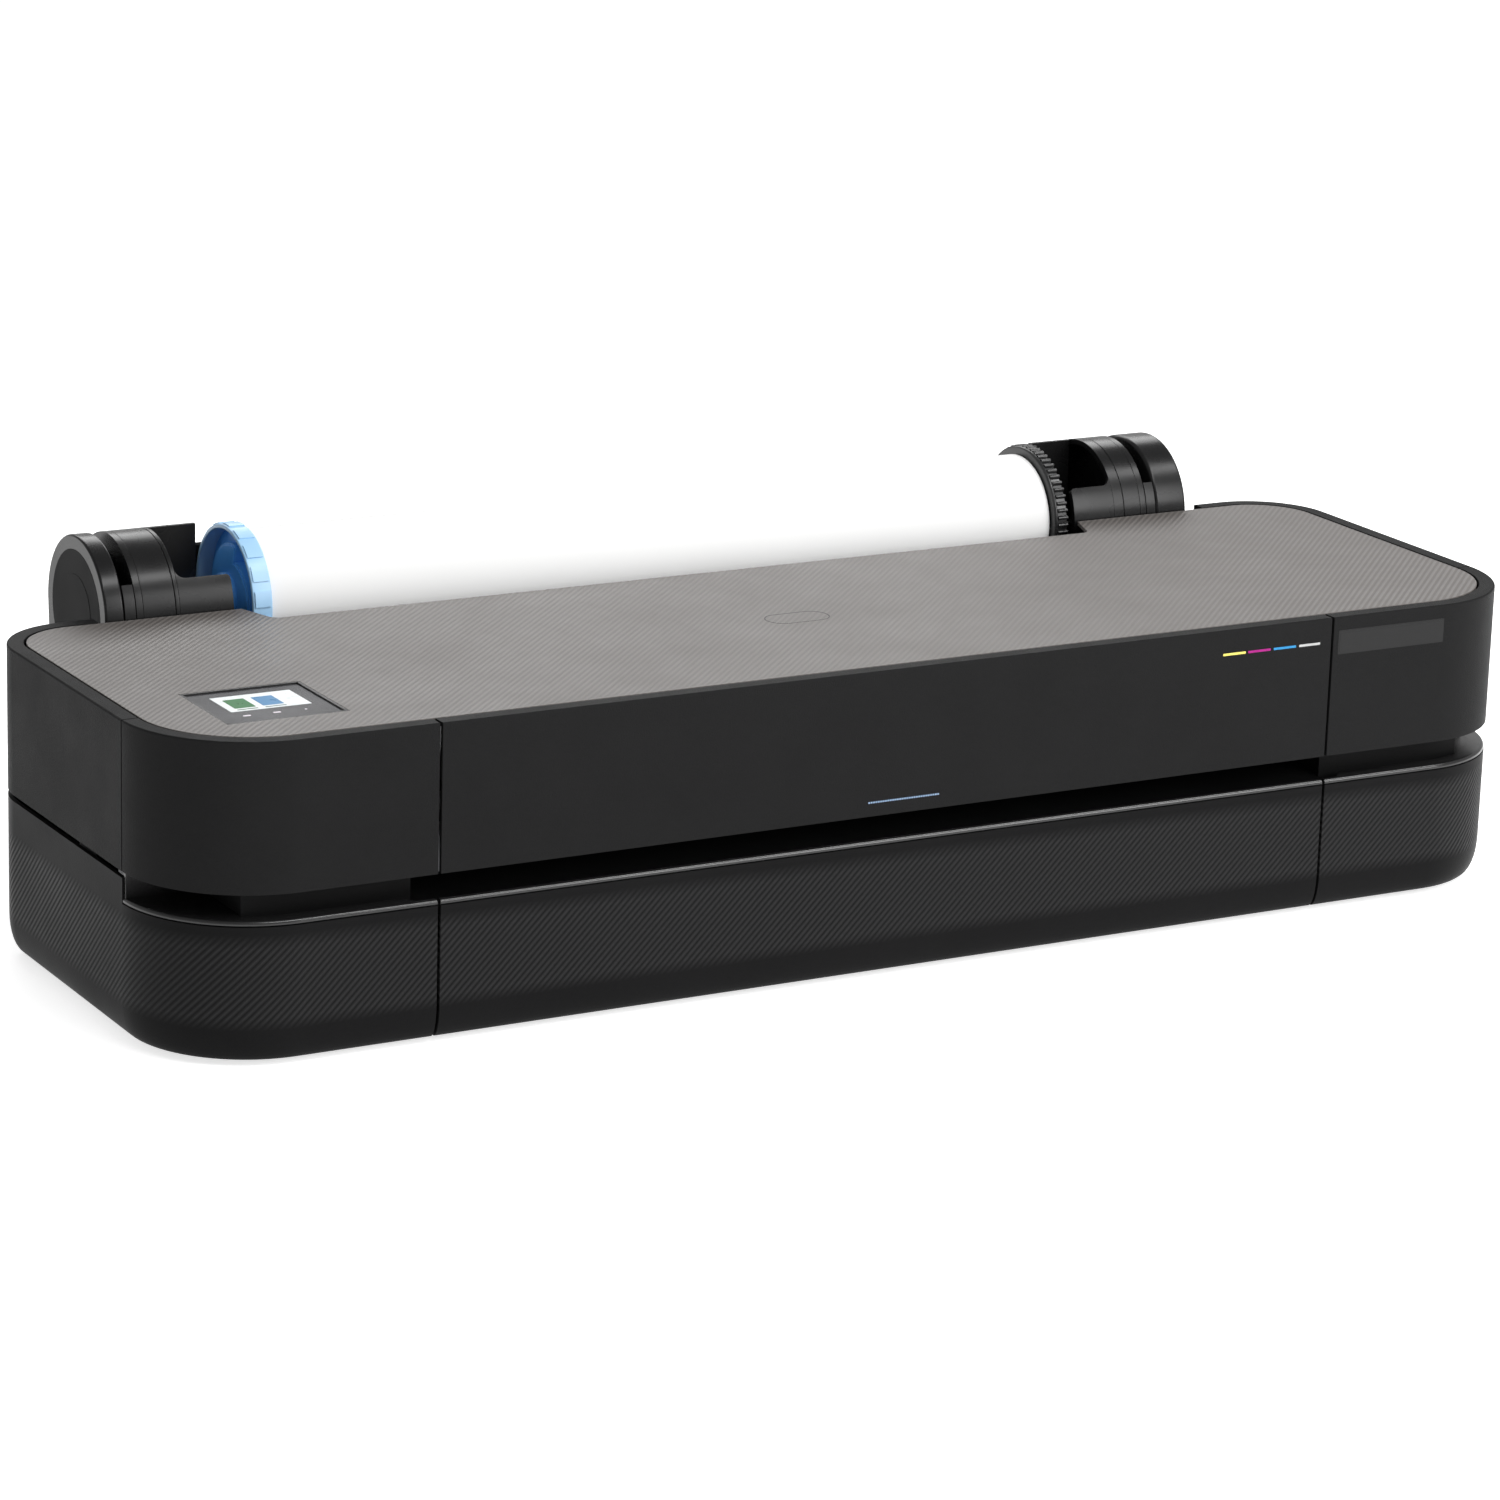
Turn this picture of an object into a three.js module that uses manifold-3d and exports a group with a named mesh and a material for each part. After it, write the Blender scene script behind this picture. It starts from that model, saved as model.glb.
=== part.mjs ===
// Desktop roll-fed plotter, 24 inch, in millimetres with +Z up.
// The origin is on the ground under the middle of the machine; +X is to the user's right, the front is -Y.
// Pieces are drawn in a machine frame: y = 0 at the front face, z = 0 at the underside of the base.
// The last group moves that frame to the origin.

import * as THREE from 'three';
import { mergeVertices } from 'three/addons/utils/BufferGeometryUtils.js';
import Module from 'manifold-3d';

const wasm = await Module();
wasm.setup();

// ---- driving dimensions ----

const WIDTH = 1013; // across the body
const DEPTH = 418; // from the front face to the back of the roll trough
const FOOT_HEIGHT = 4;
const HALF = WIDTH / 2;

const BODY_REAR = 316; // rear plane of the body
const FRONT_RADIUS = 83; // corners in plan
const REAR_RADIUS = 54;
const WALL = 3; // moulded wall
const GAP = 0.3; // clearance where pieces meet

const LID_TOP = 203.9; // top of the lid and rim
const SKIRT = 107.6; // underside of the upper covers
const LIP_TOP = 91; // top of the lip under the paper outlet
const RIM_WIDTH = 11; // rim strip round the lid
const GROOVE = 1.5; // dark joint between rim and lid
const SEAM = 331; // |x| of the front joints
const SEAM_GAP = 2;
const CORNER_SEAM = 83; // y of the joint on each side
const SIDE_TOP = 103.6; // top of the lower covers behind the side joint

const ROLL_Y = 357; // roll axis
const ROLL_Z = 198.5;
const PAPER_RADIUS = 44;
const PAPER_HALF = 304.5; // 24 inch paper, 609 long
const HOLDER_RADIUS = 51; // outside of the roll holders
const COVER_INSIDE = 52.6; // roll cover shell
const COVER_OUTSIDE = 55.6;
const TROUGH_INSIDE = 58;
const TROUGH_OUTSIDE = 61;
const HUB_TEETH = 60;
const DRIVE_TEETH = 15;
const HUB_TOOTH_RADIUS = 50.7;

const BEYOND = 600; // further out than any part of the machine, for cutting tools
const JOINT = 0.6; // half the gap where a cover meets the next across the depth

const FRAME_X = 446; // inner face of each side frame
const FEED_Y = 160; // feed roller axis
const FEED_Z = 84;
const FEED_RADIUS = 12;
const PINCH_RADIUS = 6;
const EXIT_Y = 64; // exit roller axis
const EXIT_Z = 90;
const EXIT_RADIUS = 6;
const JOURNAL = 5; // roller ends
const BORE = 5.1; // their holes
const FEED_TEETH = 32;
const PINION_TEETH = 10;
const FEED_MODULE = 1.5;

const ROD_Y = 170; // carriage rod
const ROD_Z = 160;
const ROD_RADIUS = 6;
const BELT_Y = 212;
const BELT_Z = 170;
const PULLEY_RADIUS = 8;
const PULLEY_X = 428;
const HOME_X = 385; // middle of the carriage when parked

const CARTRIDGE_PITCH = 25;
const CARTRIDGE_FIRST_X = 356;
const CARTRIDGE_WIDTH = 20;

// ---- finishes ----

const FINISH = {
  charcoal: [0x2c2d2f, 0.55, 0],
  taupe: [0x77706b, 0.6, 0],
  black: [0x141415, 0.3, 0],
  shadow: [0x0c0c0d, 0.7, 0],
  holder: [0x29292b, 0.3, 0],
  glass: [0x16181a, 0.1, 0],
  blue: [0x2e7fd0, 0.35, 0],
  paper: [0xf7f7f5, 0.9, 0],
  card: [0xb09268, 0.9, 0],
  steel: [0x9a9c9e, 0.35, 1],
  zinc: [0xa8abad, 0.45, 1],
  rubber: [0x1b1b1b, 0.9, 0],
  board: [0x1f5a38, 0.5, 0],
  grey: [0x5a5c60, 0.5, 0],
};

// ---- solids ----

function toSolid(geometry) {
  const bare = geometry.index ? geometry.toNonIndexed() : geometry.clone();
  bare.deleteAttribute('normal');
  bare.deleteAttribute('uv');
  const merged = mergeVertices(bare, 1e-4);
  return new wasm.Manifold(new wasm.Mesh({
    numProp: 3,
    vertProperties: new Float32Array(merged.attributes.position.array),
    triVerts: new Uint32Array(merged.index.array),
  }));
}

function toGeometry(solid) {
  const mesh = solid.getMesh();
  const geometry = new THREE.BufferGeometry();
  geometry.setAttribute('position', new THREE.BufferAttribute(mesh.vertProperties, 3));
  geometry.setIndex(new THREE.BufferAttribute(mesh.triVerts, 1));
  return geometry;
}

function join(first, ...others) {
  return others.reduce((whole, piece) => whole.add(piece), first);
}

function cut(first, ...tools) {
  return tools.reduce((whole, tool) => whole.subtract(tool), first);
}

// a box between two corners
function block(x0, x1, y0, y1, z0, z1) {
  const box = new THREE.BoxGeometry(x1 - x0, y1 - y0, z1 - z0);
  return toSolid(box.translate((x0 + x1) / 2, (y0 + y1) / 2, (z0 + z1) / 2));
}

// a plan outline raised from z0 to z1
function plate(shape, z0, z1, curveSegments = 10) {
  const raised = new THREE.ExtrudeGeometry(shape, { depth: z1 - z0, bevelEnabled: false, curveSegments });
  return toSolid(raised.translate(0, 0, z0));
}

// a side outline, drawn in (y, z), run from x0 to x1
function sideways(shape, x0, x1, curveSegments = 10) {
  const run = new THREE.ExtrudeGeometry(shape, { depth: x1 - x0, bevelEnabled: false, curveSegments });
  const turn = new THREE.Matrix4().makeBasis(
    new THREE.Vector3(0, 1, 0),
    new THREE.Vector3(0, 0, 1),
    new THREE.Vector3(1, 0, 0),
  );
  return toSolid(run.applyMatrix4(turn).translate(x0, 0, 0));
}

// a round bar along X
function bar(x0, x1, radius, y, z, sides = 24) {
  const round = new THREE.CylinderGeometry(radius, radius, x1 - x0, sides);
  return toSolid(round.rotateZ(Math.PI / 2).translate((x0 + x1) / 2, y, z));
}

// a round bar along Z
function post(z0, z1, radius, x, y, sides = 24) {
  const round = new THREE.CylinderGeometry(radius, radius, z1 - z0, sides);
  return toSolid(round.rotateX(Math.PI / 2).translate(x, y, (z0 + z1) / 2));
}

// the range between two distances from the middle, on the side given by sign
function between(sign, a, b) {
  return [Math.min(sign * a, sign * b), Math.max(sign * a, sign * b)];
}

function polygon(points) {
  return new THREE.Shape(points.map(([u, v]) => new THREE.Vector2(u, v)));
}

// plan outline of the body, drawn in by an inset
function bodyPlan(inset) {
  const x = HALF - inset;
  const front = inset;
  const back = BODY_REAR - inset;
  const rf = FRONT_RADIUS - inset;
  const rr = REAR_RADIUS - inset;
  const shape = new THREE.Shape();
  shape.moveTo(-x + rf, front);
  shape.lineTo(x - rf, front);
  shape.absarc(x - rf, front + rf, rf, -Math.PI / 2, 0, false);
  shape.lineTo(x, back - rr);
  shape.absarc(x - rr, back - rr, rr, 0, Math.PI / 2, false);
  shape.lineTo(-x + rr, back);
  shape.absarc(-x + rr, back - rr, rr, Math.PI / 2, Math.PI, false);
  shape.lineTo(-x, front + rf);
  shape.absarc(-x + rf, front + rf, rf, Math.PI, Math.PI * 1.5, false);
  return shape;
}

// part of a ring about the roll axis; angles in degrees from straight up, + towards the front
function sector(inner, outer, from, to, steps) {
  const at = (radius, degrees) => {
    const a = THREE.MathUtils.degToRad(degrees);
    return [ROLL_Y - radius * Math.sin(a), ROLL_Z + radius * Math.cos(a)];
  };
  const points = [];
  for (let i = 0; i <= steps; i += 1) points.push(at(outer, from + ((to - from) * i) / steps));
  if (inner === 0) points.push([ROLL_Y, ROLL_Z]);
  for (let i = steps; i >= 0 && inner > 0; i -= 1) points.push(at(inner, from + ((to - from) * i) / steps));
  return polygon(points);
}

// gear outline with straight-sided teeth; phase is where the first tooth points, counted in teeth
function gearOutline(cy, cz, teeth, root, tip, phase) {
  const points = [];
  const pitch = (2 * Math.PI) / teeth;
  const corners = [[-0.27, root], [-0.12, tip], [0.12, tip], [0.27, root]];
  for (let i = 0; i < teeth; i += 1) {
    for (const [step, radius] of corners) {
      const a = (i + phase + step) * pitch;
      points.push([cy + radius * Math.cos(a), cz + radius * Math.sin(a)]);
    }
  }
  return polygon(points);
}

const plotter = new THREE.Group();
const machine = new THREE.Group();
plotter.add(machine);

// adds a piece to a group under its own name and finish
function add(name, solid, finish, group = machine) {
  const [color, roughness, metalness] = FINISH[finish];
  const material = new THREE.MeshStandardMaterial({ color, roughness, metalness });
  const mesh = new THREE.Mesh(toGeometry(solid), material);
  mesh.name = name;
  group.add(mesh);
  return mesh;
}

// ---- upper covers: one ring with a rim, divided at its joints ----

const HOLDER_BAY_X = 430; // the covers stop here to leave room for the roll holders
const HOLDER_BAY_Y = 305;
const POCKET_X = 330; // half width of the roll pocket

function upperRing() {
  const ring = cut(
    plate(bodyPlan(0), SKIRT, LID_TOP),
    plate(bodyPlan(WALL), SKIRT - 1, LID_TOP - WALL),
    plate(bodyPlan(RIM_WIDTH), LID_TOP - WALL - 1, LID_TOP + 1),
  );
  const bay = block(-HOLDER_BAY_X, HOLDER_BAY_X, HOLDER_BAY_Y - RIM_WIDTH, BODY_REAR + 1, 0, BEYOND);
  return cut(ring, bay);
}

function coverSplits() {
  const ring = upperRing();
  const edge = SEAM + SEAM_GAP / 2;
  const inner = SEAM - SEAM_GAP / 2;
  const corner = (sign) => block(...between(sign, edge, BEYOND), -1, CORNER_SEAM - JOINT, 0, BEYOND);
  const side = (sign) => block(...between(sign, edge, BEYOND), CORNER_SEAM + JOINT, BEYOND, 0, BEYOND);
  return {
    left_corner_cover: ring.intersect(corner(-1)),
    ink_door: ring.intersect(corner(1)),
    left_side_panel: ring.intersect(side(-1)),
    right_side_panel: ring.intersect(side(1)),
    front_door: ring.intersect(block(-inner, inner, -1, CORNER_SEAM, 0, BEYOND)),
  };
}

for (const [name, solid] of Object.entries(coverSplits())) {
  add(name, solid, 'charcoal');
}

// ---- lid, with the touch panel let into it ----

const PANEL = { x0: -452, x1: -370, y0: 48, y1: 124 };
const BEZEL_WIDTH = 3;
const BEZEL_DEPTH = 9;
const NOTCH = { left: -320, right: 311, front: 272.5, leftSpread: -336.5, rightSpread: 328.5 };
const LID_REAR = 304.4;
const LID_DROP = 0.1; // the lid lies this much below the rim

function lidPlan() {
  const inset = RIM_WIDTH + GROOVE;
  const outline = plate(bodyPlan(inset), LID_TOP - WALL, LID_TOP - LID_DROP, 14);
  const spreadY = LID_REAR + 20; // where the notch would reach its full spread
  const notch = polygon([
    [NOTCH.left, NOTCH.front], [NOTCH.right, NOTCH.front],
    [NOTCH.rightSpread, spreadY], [NOTCH.leftSpread, spreadY],
  ]);
  return cut(outline, plate(notch, 0, BEYOND), block(-BEYOND, BEYOND, LID_REAR, BEYOND, 0, BEYOND));
}

// the touch panel's place in the lid, drawn in by an inset
function panelBlock(inset, z0, z1) {
  return block(PANEL.x0 + inset, PANEL.x1 - inset, PANEL.y0 + inset, PANEL.y1 - inset, z0, z1);
}

add('top_cover', cut(lidPlan(), panelBlock(0, 0, BEYOND)), 'taupe');
add('panel_bezel', cut(
  panelBlock(GAP, LID_TOP - BEZEL_DEPTH, LID_TOP - GAP),
  panelBlock(BEZEL_WIDTH, LID_TOP - 2.6, BEYOND),
), 'black');
add('panel_glass', panelBlock(BEZEL_WIDTH + GAP, LID_TOP - 2.3, LID_TOP - 0.8), 'glass');

// ---- lower covers: a ring with a drawn-in foot, divided at the same joints ----

const FOOT_INSET = 8.5;
const FOOT_RISE = 24;
const REAR_SLOPE_Y = 282; // the rear wall slopes in to here at the bottom
const REAR_SLOPE_Z = 42;

function footedPlan(inset) {
  const body = new THREE.ExtrudeGeometry(bodyPlan(inset), {
    depth: 200,
    bevelEnabled: true,
    bevelThickness: FOOT_RISE,
    bevelSize: FOOT_INSET,
    bevelOffset: -FOOT_INSET,
    bevelSegments: 3,
    curveSegments: 10,
  });
  const slope = polygon([
    [-10, -60], [REAR_SLOPE_Y - inset, 0], [BODY_REAR - inset, REAR_SLOPE_Z],
    [BODY_REAR - inset, BEYOND], [-10, BEYOND],
  ]);
  return toSolid(body.translate(0, 0, FOOT_RISE)).intersect(sideways(slope, -BEYOND, BEYOND));
}

const HOUSING_X = 440; // rear housing behind the body
const LIP_THICK = 3; // lip that lies on the lower covers

function lowerCovers() {
  const ring = cut(footedPlan(0), footedPlan(WALL), block(-BEYOND, BEYOND, -1, BEYOND, SIDE_TOP, BEYOND));
  const open = cut(
    ring,
    block(-BEYOND, BEYOND, -1, CORNER_SEAM - JOINT, LIP_TOP - LIP_THICK - 0.8, BEYOND),
    block(-HOUSING_X - 1, HOUSING_X + 1, BODY_REAR - 60, BODY_REAR + 1, -1, BEYOND),
    block(-BEYOND, BEYOND, -1, BEYOND, -30, 0),
  );
  const edge = SEAM + SEAM_GAP / 2;
  const inner = SEAM - SEAM_GAP / 2;
  return {
    lower_cover_left: open.intersect(block(-BEYOND, -edge, -1, BEYOND, -1, BEYOND)),
    lower_cover_right: open.intersect(block(edge, BEYOND, -1, BEYOND, -1, BEYOND)),
    lower_cover_front: open.intersect(block(-inner, inner, -1, BODY_REAR / 2, -1, BEYOND)),
  };
}

for (const [name, solid] of Object.entries(lowerCovers())) {
  add(name, solid, 'charcoal');
}

// ---- lip under the paper outlet ----

const LIP_DEEP = 12.5; // width of the lip outside the paper's path
const LIP_NARROW = 3.5;
const LIP_INSET = 0.2; // it stands back this much from the covers
const LIP_STEP_X = 352; // where it narrows
const CORE_X = 455; // the body is drawn in to here behind the lip's ends
const CORE_Y = 20.5;

function lip(sign) {
  const full = plate(bodyPlan(LIP_INSET), LIP_TOP - LIP_THICK, LIP_TOP);
  return cut(
    full.intersect(block(
      ...between(sign, SEAM + SEAM_GAP / 2, BEYOND), -1, CORNER_SEAM - JOINT, 0, BEYOND,
    )),
    block(...between(sign, LIP_STEP_X, CORE_X), LIP_DEEP, BEYOND, 0, BEYOND),
    block(...between(sign, 0, LIP_STEP_X), LIP_NARROW, BEYOND, 0, BEYOND),
  );
}

add('lip_left', lip(-1), 'black');
add('lip_right', lip(1), 'black');
add('lip_front', block(
  -SEAM + SEAM_GAP / 2, SEAM - SEAM_GAP / 2, LIP_INSET, LIP_NARROW, LIP_TOP - LIP_THICK, LIP_TOP,
), 'black');

// ---- platen: the floor of the paper outlet, with end walls that stand back from the lip ----

const FLOOR_HALF = 342; // half width of the outlet between its end walls
const PLATEN_REAR = 146;
const PLATEN_TOP = 93;
const RAMP_REAR = 58; // the floor slopes down from here to the lip
const WALL_REAR = CORNER_SEAM + 8;
const WALL_TOP = 111.5;
const WALL_FOOT = 81;
const SLIT_HALF = 306; // opening that the exit roller shows through

function platen() {
  const floor = polygon([
    [LIP_NARROW + 1, 80], [RAMP_REAR, PLATEN_TOP - WALL], [PLATEN_REAR, PLATEN_TOP - WALL],
    [PLATEN_REAR, PLATEN_TOP], [RAMP_REAR, PLATEN_TOP], [LIP_NARROW + 1, 84],
  ]);
  const ends = [-1, 1].map((sign) => cut(
    block(...between(sign, FLOOR_HALF - 1, CORE_X), CORE_Y, WALL_REAR, WALL_FOOT, WALL_TOP),
    block(...between(sign, FLOOR_HALF + WALL, CORE_X - WALL), CORE_Y + WALL, BEYOND, 0, BEYOND),
  ));
  return cut(
    join(sideways(floor, -FLOOR_HALF, FLOOR_HALF), ...ends),
    block(-SLIT_HALF, SLIT_HALF, EXIT_Y - EXIT_RADIUS - 1, EXIT_Y + EXIT_RADIUS + 1, 0, BEYOND),
  );
}

add('platen', platen(), 'shadow');

// ---- base and rear housing ----

const TRAY_INSET = 12.5;
const HOUSING_FRONT = 286; // it starts inside the body, ahead of the sloping rear wall
const HOUSING_REAR = 408;
const HOUSING_TOP = 104;
const HOUSING_RADIUS = 25;

function housingPlan(inset) {
  const x = HOUSING_X - inset;
  const r = HOUSING_RADIUS - inset;
  const back = HOUSING_REAR - inset;
  const shape = new THREE.Shape();
  shape.moveTo(-x, HOUSING_FRONT);
  shape.lineTo(x, HOUSING_FRONT);
  shape.lineTo(x, back - r);
  shape.absarc(x - r, back - r, r, 0, Math.PI / 2, false);
  shape.lineTo(-x + r, back);
  shape.absarc(-x + r, back - r, r, Math.PI / 2, Math.PI, false);
  return shape;
}

const INLET = { x0: 300, x1: 332, z0: 30, z1: 56 };
const PORTS = { x0: -392, x1: -332, z0: 30, z1: 52 };
const SOCKET_DEPTH = 22;

// a box through the rear face, larger than the socket block by a margin
function rearHole(socket, margin) {
  return block(
    socket.x0 - margin, socket.x1 + margin, HOUSING_REAR - SOCKET_DEPTH / 2, HOUSING_REAR + 1,
    socket.z0 - margin, socket.z1 + margin,
  );
}

function rearHousing() {
  const inside = HOUSING_X - WALL;
  return cut(
    plate(housingPlan(0), 0, HOUSING_TOP, 6),
    plate(housingPlan(WALL), -1, HOUSING_TOP - WALL, 6),
    block(-inside, inside, HOUSING_FRONT - 1, HOUSING_FRONT + 10, -1, HOUSING_TOP - WALL),
    rearHole(INLET, GAP),
    rearHole(PORTS, GAP),
  );
}

add('rear_housing', rearHousing(), 'charcoal');

// one plate under the body and the housing, joined by a tongue between them
function baseTray() {
  const under = plate(bodyPlan(TRAY_INSET), 0, WALL);
  const ahead = REAR_SLOPE_Y - WALL - 1.5;
  const tongue = HOUSING_X - WALL - 1;
  return join(
    cut(under, block(-BEYOND, BEYOND, ahead, BEYOND, -1, BEYOND)),
    plate(housingPlan(WALL + GAP), 0, WALL, 6),
    block(-tongue, tongue, 250, BODY_REAR + 12, 0, WALL),
  );
}

add('base_tray', baseTray(), 'charcoal');

const FEET = {
  foot_front_left: [-400, 62],
  foot_front_right: [400, 62],
  foot_rear_left: [-385, 372],
  foot_rear_right: [385, 372],
};
for (const [name, [x, y]] of Object.entries(FEET)) {
  const foot = add(name, post(-FOOT_HEIGHT, -GAP, 13, 0, 0), 'rubber');
  foot.position.set(x, y, 0);
}

// socket for the power lead with its three blades, and the block of data ports
function socketBlock(socket) {
  return block(
    socket.x0, socket.x1, HOUSING_REAR - SOCKET_DEPTH, HOUSING_REAR - 0.2, socket.z0, socket.z1,
  );
}

// a recess between x0 and x1, set in by a margin from the top and bottom of the block
function recess(socket, x0, x1, margin, depth) {
  return block(
    x0, x1, HOUSING_REAR - depth, HOUSING_REAR + 1, socket.z0 + margin, socket.z1 - margin,
  );
}

const blades = [-7, 0, 7].map((offset) => {
  const x = (INLET.x0 + INLET.x1) / 2 + offset;
  return block(x - 1, x + 1, HOUSING_REAR - 16, HOUSING_REAR - 3, 41, 45);
});
add('power_inlet', join(
  cut(socketBlock(INLET), recess(INLET, INLET.x0 + 4, INLET.x1 - 4, 4, 15)),
  ...blades,
), 'black');
add('port_block', cut(
  socketBlock(PORTS),
  recess(PORTS, PORTS.x0 + 4, PORTS.x0 + 20, 4, 14),
  recess(PORTS, PORTS.x1 - 18, PORTS.x1 - 5, 5, 14),
), 'black');

// ---- roll pocket: the wall behind the lid that the paper passes under ----

const POCKET_WALL_Y = 274;
const POCKET_TOP = LID_TOP - WALL - GAP;
const POCKET_BOTTOM = 128;
const BULKHEAD_Y = 300.7; // the wall steps back to here in front of the holders
const BULKHEAD_X = 436;

function pocketWall() {
  const slant = 2; // how far the back of the wall shifts inwards at the slanting ends
  const half = [[BULKHEAD_X, BULKHEAD_Y], [POCKET_X + WALL, BULKHEAD_Y], [POCKET_X - 7, POCKET_WALL_Y]];
  const front = [...half, ...half.map(([x, y]) => [-x, y]).reverse()];
  const shift = (x) => (Math.abs(x) === BULKHEAD_X ? 0 : Math.sign(x) * slant);
  const back = front.map(([x, y]) => [x - shift(x), y + WALL]).reverse();
  const bulkheads = [-1, 1].map((sign) => block(
    ...between(sign, POCKET_X + WALL, BULKHEAD_X),
    BULKHEAD_Y, BULKHEAD_Y + WALL, HOUSING_TOP + GAP, POCKET_BOTTOM + 1,
  ));
  return join(plate(polygon([...front, ...back]), POCKET_BOTTOM, POCKET_TOP), ...bulkheads);
}

add('pocket_wall', pocketWall(), 'shadow');

// ---- trough under the roll, standing on the rear housing ----

const TROUGH_HALF = 318;
const TROUGH_FROM = -90; // degrees from straight up, towards the front
const TROUGH_TO = -222;
const TROUGH_LEGS = [-240, 0, 240];
const troughShell = sector(TROUGH_INSIDE, TROUGH_OUTSIDE, TROUGH_FROM, TROUGH_TO, 16);
const troughLegs = TROUGH_LEGS.map((x) => cut(
  block(x - 2, x + 2, 330, 404, HOUSING_TOP + GAP, ROLL_Z - 20),
  bar(x - 5, x + 5, TROUGH_OUTSIDE - 1, ROLL_Y, ROLL_Z, 48),
));
add('roll_trough', join(sideways(troughShell, -TROUGH_HALF, TROUGH_HALF), ...troughLegs), 'charcoal');

// ---- roll holders: a drum with a slot for the cover's arm, and an open cradle for the roll's axle ----

const CRADLE_TOP_ANGLE = 58; // where the cradle's front wall ends, degrees from straight up
const CRADLE_FLOOR = 152;
const WEB_TOP = 247;
const HOLDER_BOTTOM = HOUSING_TOP + GAP;
const NECK_REAR = 338; // the drum stands on a neck in front of the open cover
const SLOT_FRONT = 59; // degrees from straight up where the slot begins
const SLOT_REAR = -94;
const ARM_HUB = 12;
const PIVOT = 4;
const DRUM_WALL = 4;
const WEB_Y = 370; // wall behind the cradle
const CAP_RADIUS = 41.6; // disc let into the outer face
const CAP_SEAT = 2.3;
const AXLE = 8.3; // radius of the roll's axle ends

// outer side wall of a holder: a drum end that runs down to the housing
function sideOutline() {
  const rear = ROLL_Y + HOLDER_RADIUS;
  const shape = new THREE.Shape();
  shape.moveTo(ROLL_Y - HOLDER_RADIUS, HOLDER_BOTTOM);
  shape.lineTo(rear - 40, HOLDER_BOTTOM);
  shape.quadraticCurveTo(rear - 8, HOLDER_BOTTOM, rear - 4, HOLDER_BOTTOM + 36);
  shape.lineTo(rear, ROLL_Z);
  shape.absarc(ROLL_Y, ROLL_Z, HOLDER_RADIUS, 0, Math.PI, false);
  return shape;
}

// sizes run from the outer face inwards; sign is -1 on the left
function rollHolder(sign, outer, slotOut, slotIn, drumIn, cradleIn) {
  const span = (a, b) => between(sign, a, b);
  const front = ROLL_Y - HOLDER_RADIUS;
  const drum = cut(
    join(
      sideways(sideOutline(), ...span(outer, slotOut), 24),
      bar(...span(slotOut + 1, drumIn), HOLDER_RADIUS, ROLL_Y, ROLL_Z, 48),
      block(...span(slotOut + 1, drumIn), front, NECK_REAR, HOLDER_BOTTOM, ROLL_Z),
    ),
    bar(...span(outer + 1, outer - CAP_SEAT), CAP_RADIUS + 0.4, ROLL_Y, ROLL_Z, 48),
    bar(...span(drumIn - 1, slotIn - 5), HOLDER_RADIUS - DRUM_WALL, ROLL_Y, ROLL_Z, 48),
  );
  const slot = cut(
    join(
      sideways(sector(0, 60, SLOT_FRONT, SLOT_REAR, 16), ...span(slotOut, slotIn)),
      bar(...span(slotOut, slotIn), ARM_HUB + 1.5, ROLL_Y, ROLL_Z, 32),
    ),
    bar(...span(slotOut + 5, slotIn - 5), PIVOT, ROLL_Y, ROLL_Z),
  );
  const inner = span(drumIn + 1, cradleIn);
  const cradle = join(
    sideways(sector(HOLDER_RADIUS - DRUM_WALL, HOLDER_RADIUS, CRADLE_TOP_ANGLE, 90, 6), ...inner),
    block(...inner, front, front + DRUM_WALL, HOLDER_BOTTOM, ROLL_Z + 1),
    block(...inner, front, WEB_Y + WALL, CRADLE_FLOOR, CRADLE_FLOOR + DRUM_WALL),
    block(...inner, WEB_Y, WEB_Y + WALL, CRADLE_FLOOR, WEB_TOP),
  );
  const saddle = cut(
    block(...span(cradleIn + 6, cradleIn + 12), front + 2, WEB_Y + 1, CRADLE_FLOOR, ROLL_Z),
    bar(...span(cradleIn + 5, cradleIn + 13), AXLE + GAP, ROLL_Y, ROLL_Z, 32),
  );
  return cut(join(drum, cradle, saddle), slot);
}

const LEFT = { outer: 424.6, slotOut: 410.9, slotIn: 402.8, drumIn: 372, cradleIn: 334 };
const RIGHT = { outer: 417, slotOut: 390.4, slotIn: 382.3, drumIn: 355, cradleIn: 321 };

for (const [side, sign, s] of [['left', -1, LEFT], ['right', 1, RIGHT]]) {
  const holder = rollHolder(sign, s.outer, s.slotOut, s.slotIn, s.drumIn, s.cradleIn);
  const capSpan = between(sign, s.outer - GAP, s.outer - CAP_SEAT + GAP);
  const cap = bar(...capSpan, CAP_RADIUS, ROLL_Y, ROLL_Z, 40);
  add(`roll_holder_${side}`, holder, 'holder');
  add(`holder_cap_${side}`, cap, 'charcoal');
}

// ---- roll cover, open behind the roll: a shell with an arm in each holder's slot ----

const COVER_FRONT = -62; // leading edge, in degrees from straight up
const COVER_SPAN = 128;
const ARM_SPAN = 30;
const ARM_CLEAR = 0.35;

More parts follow.
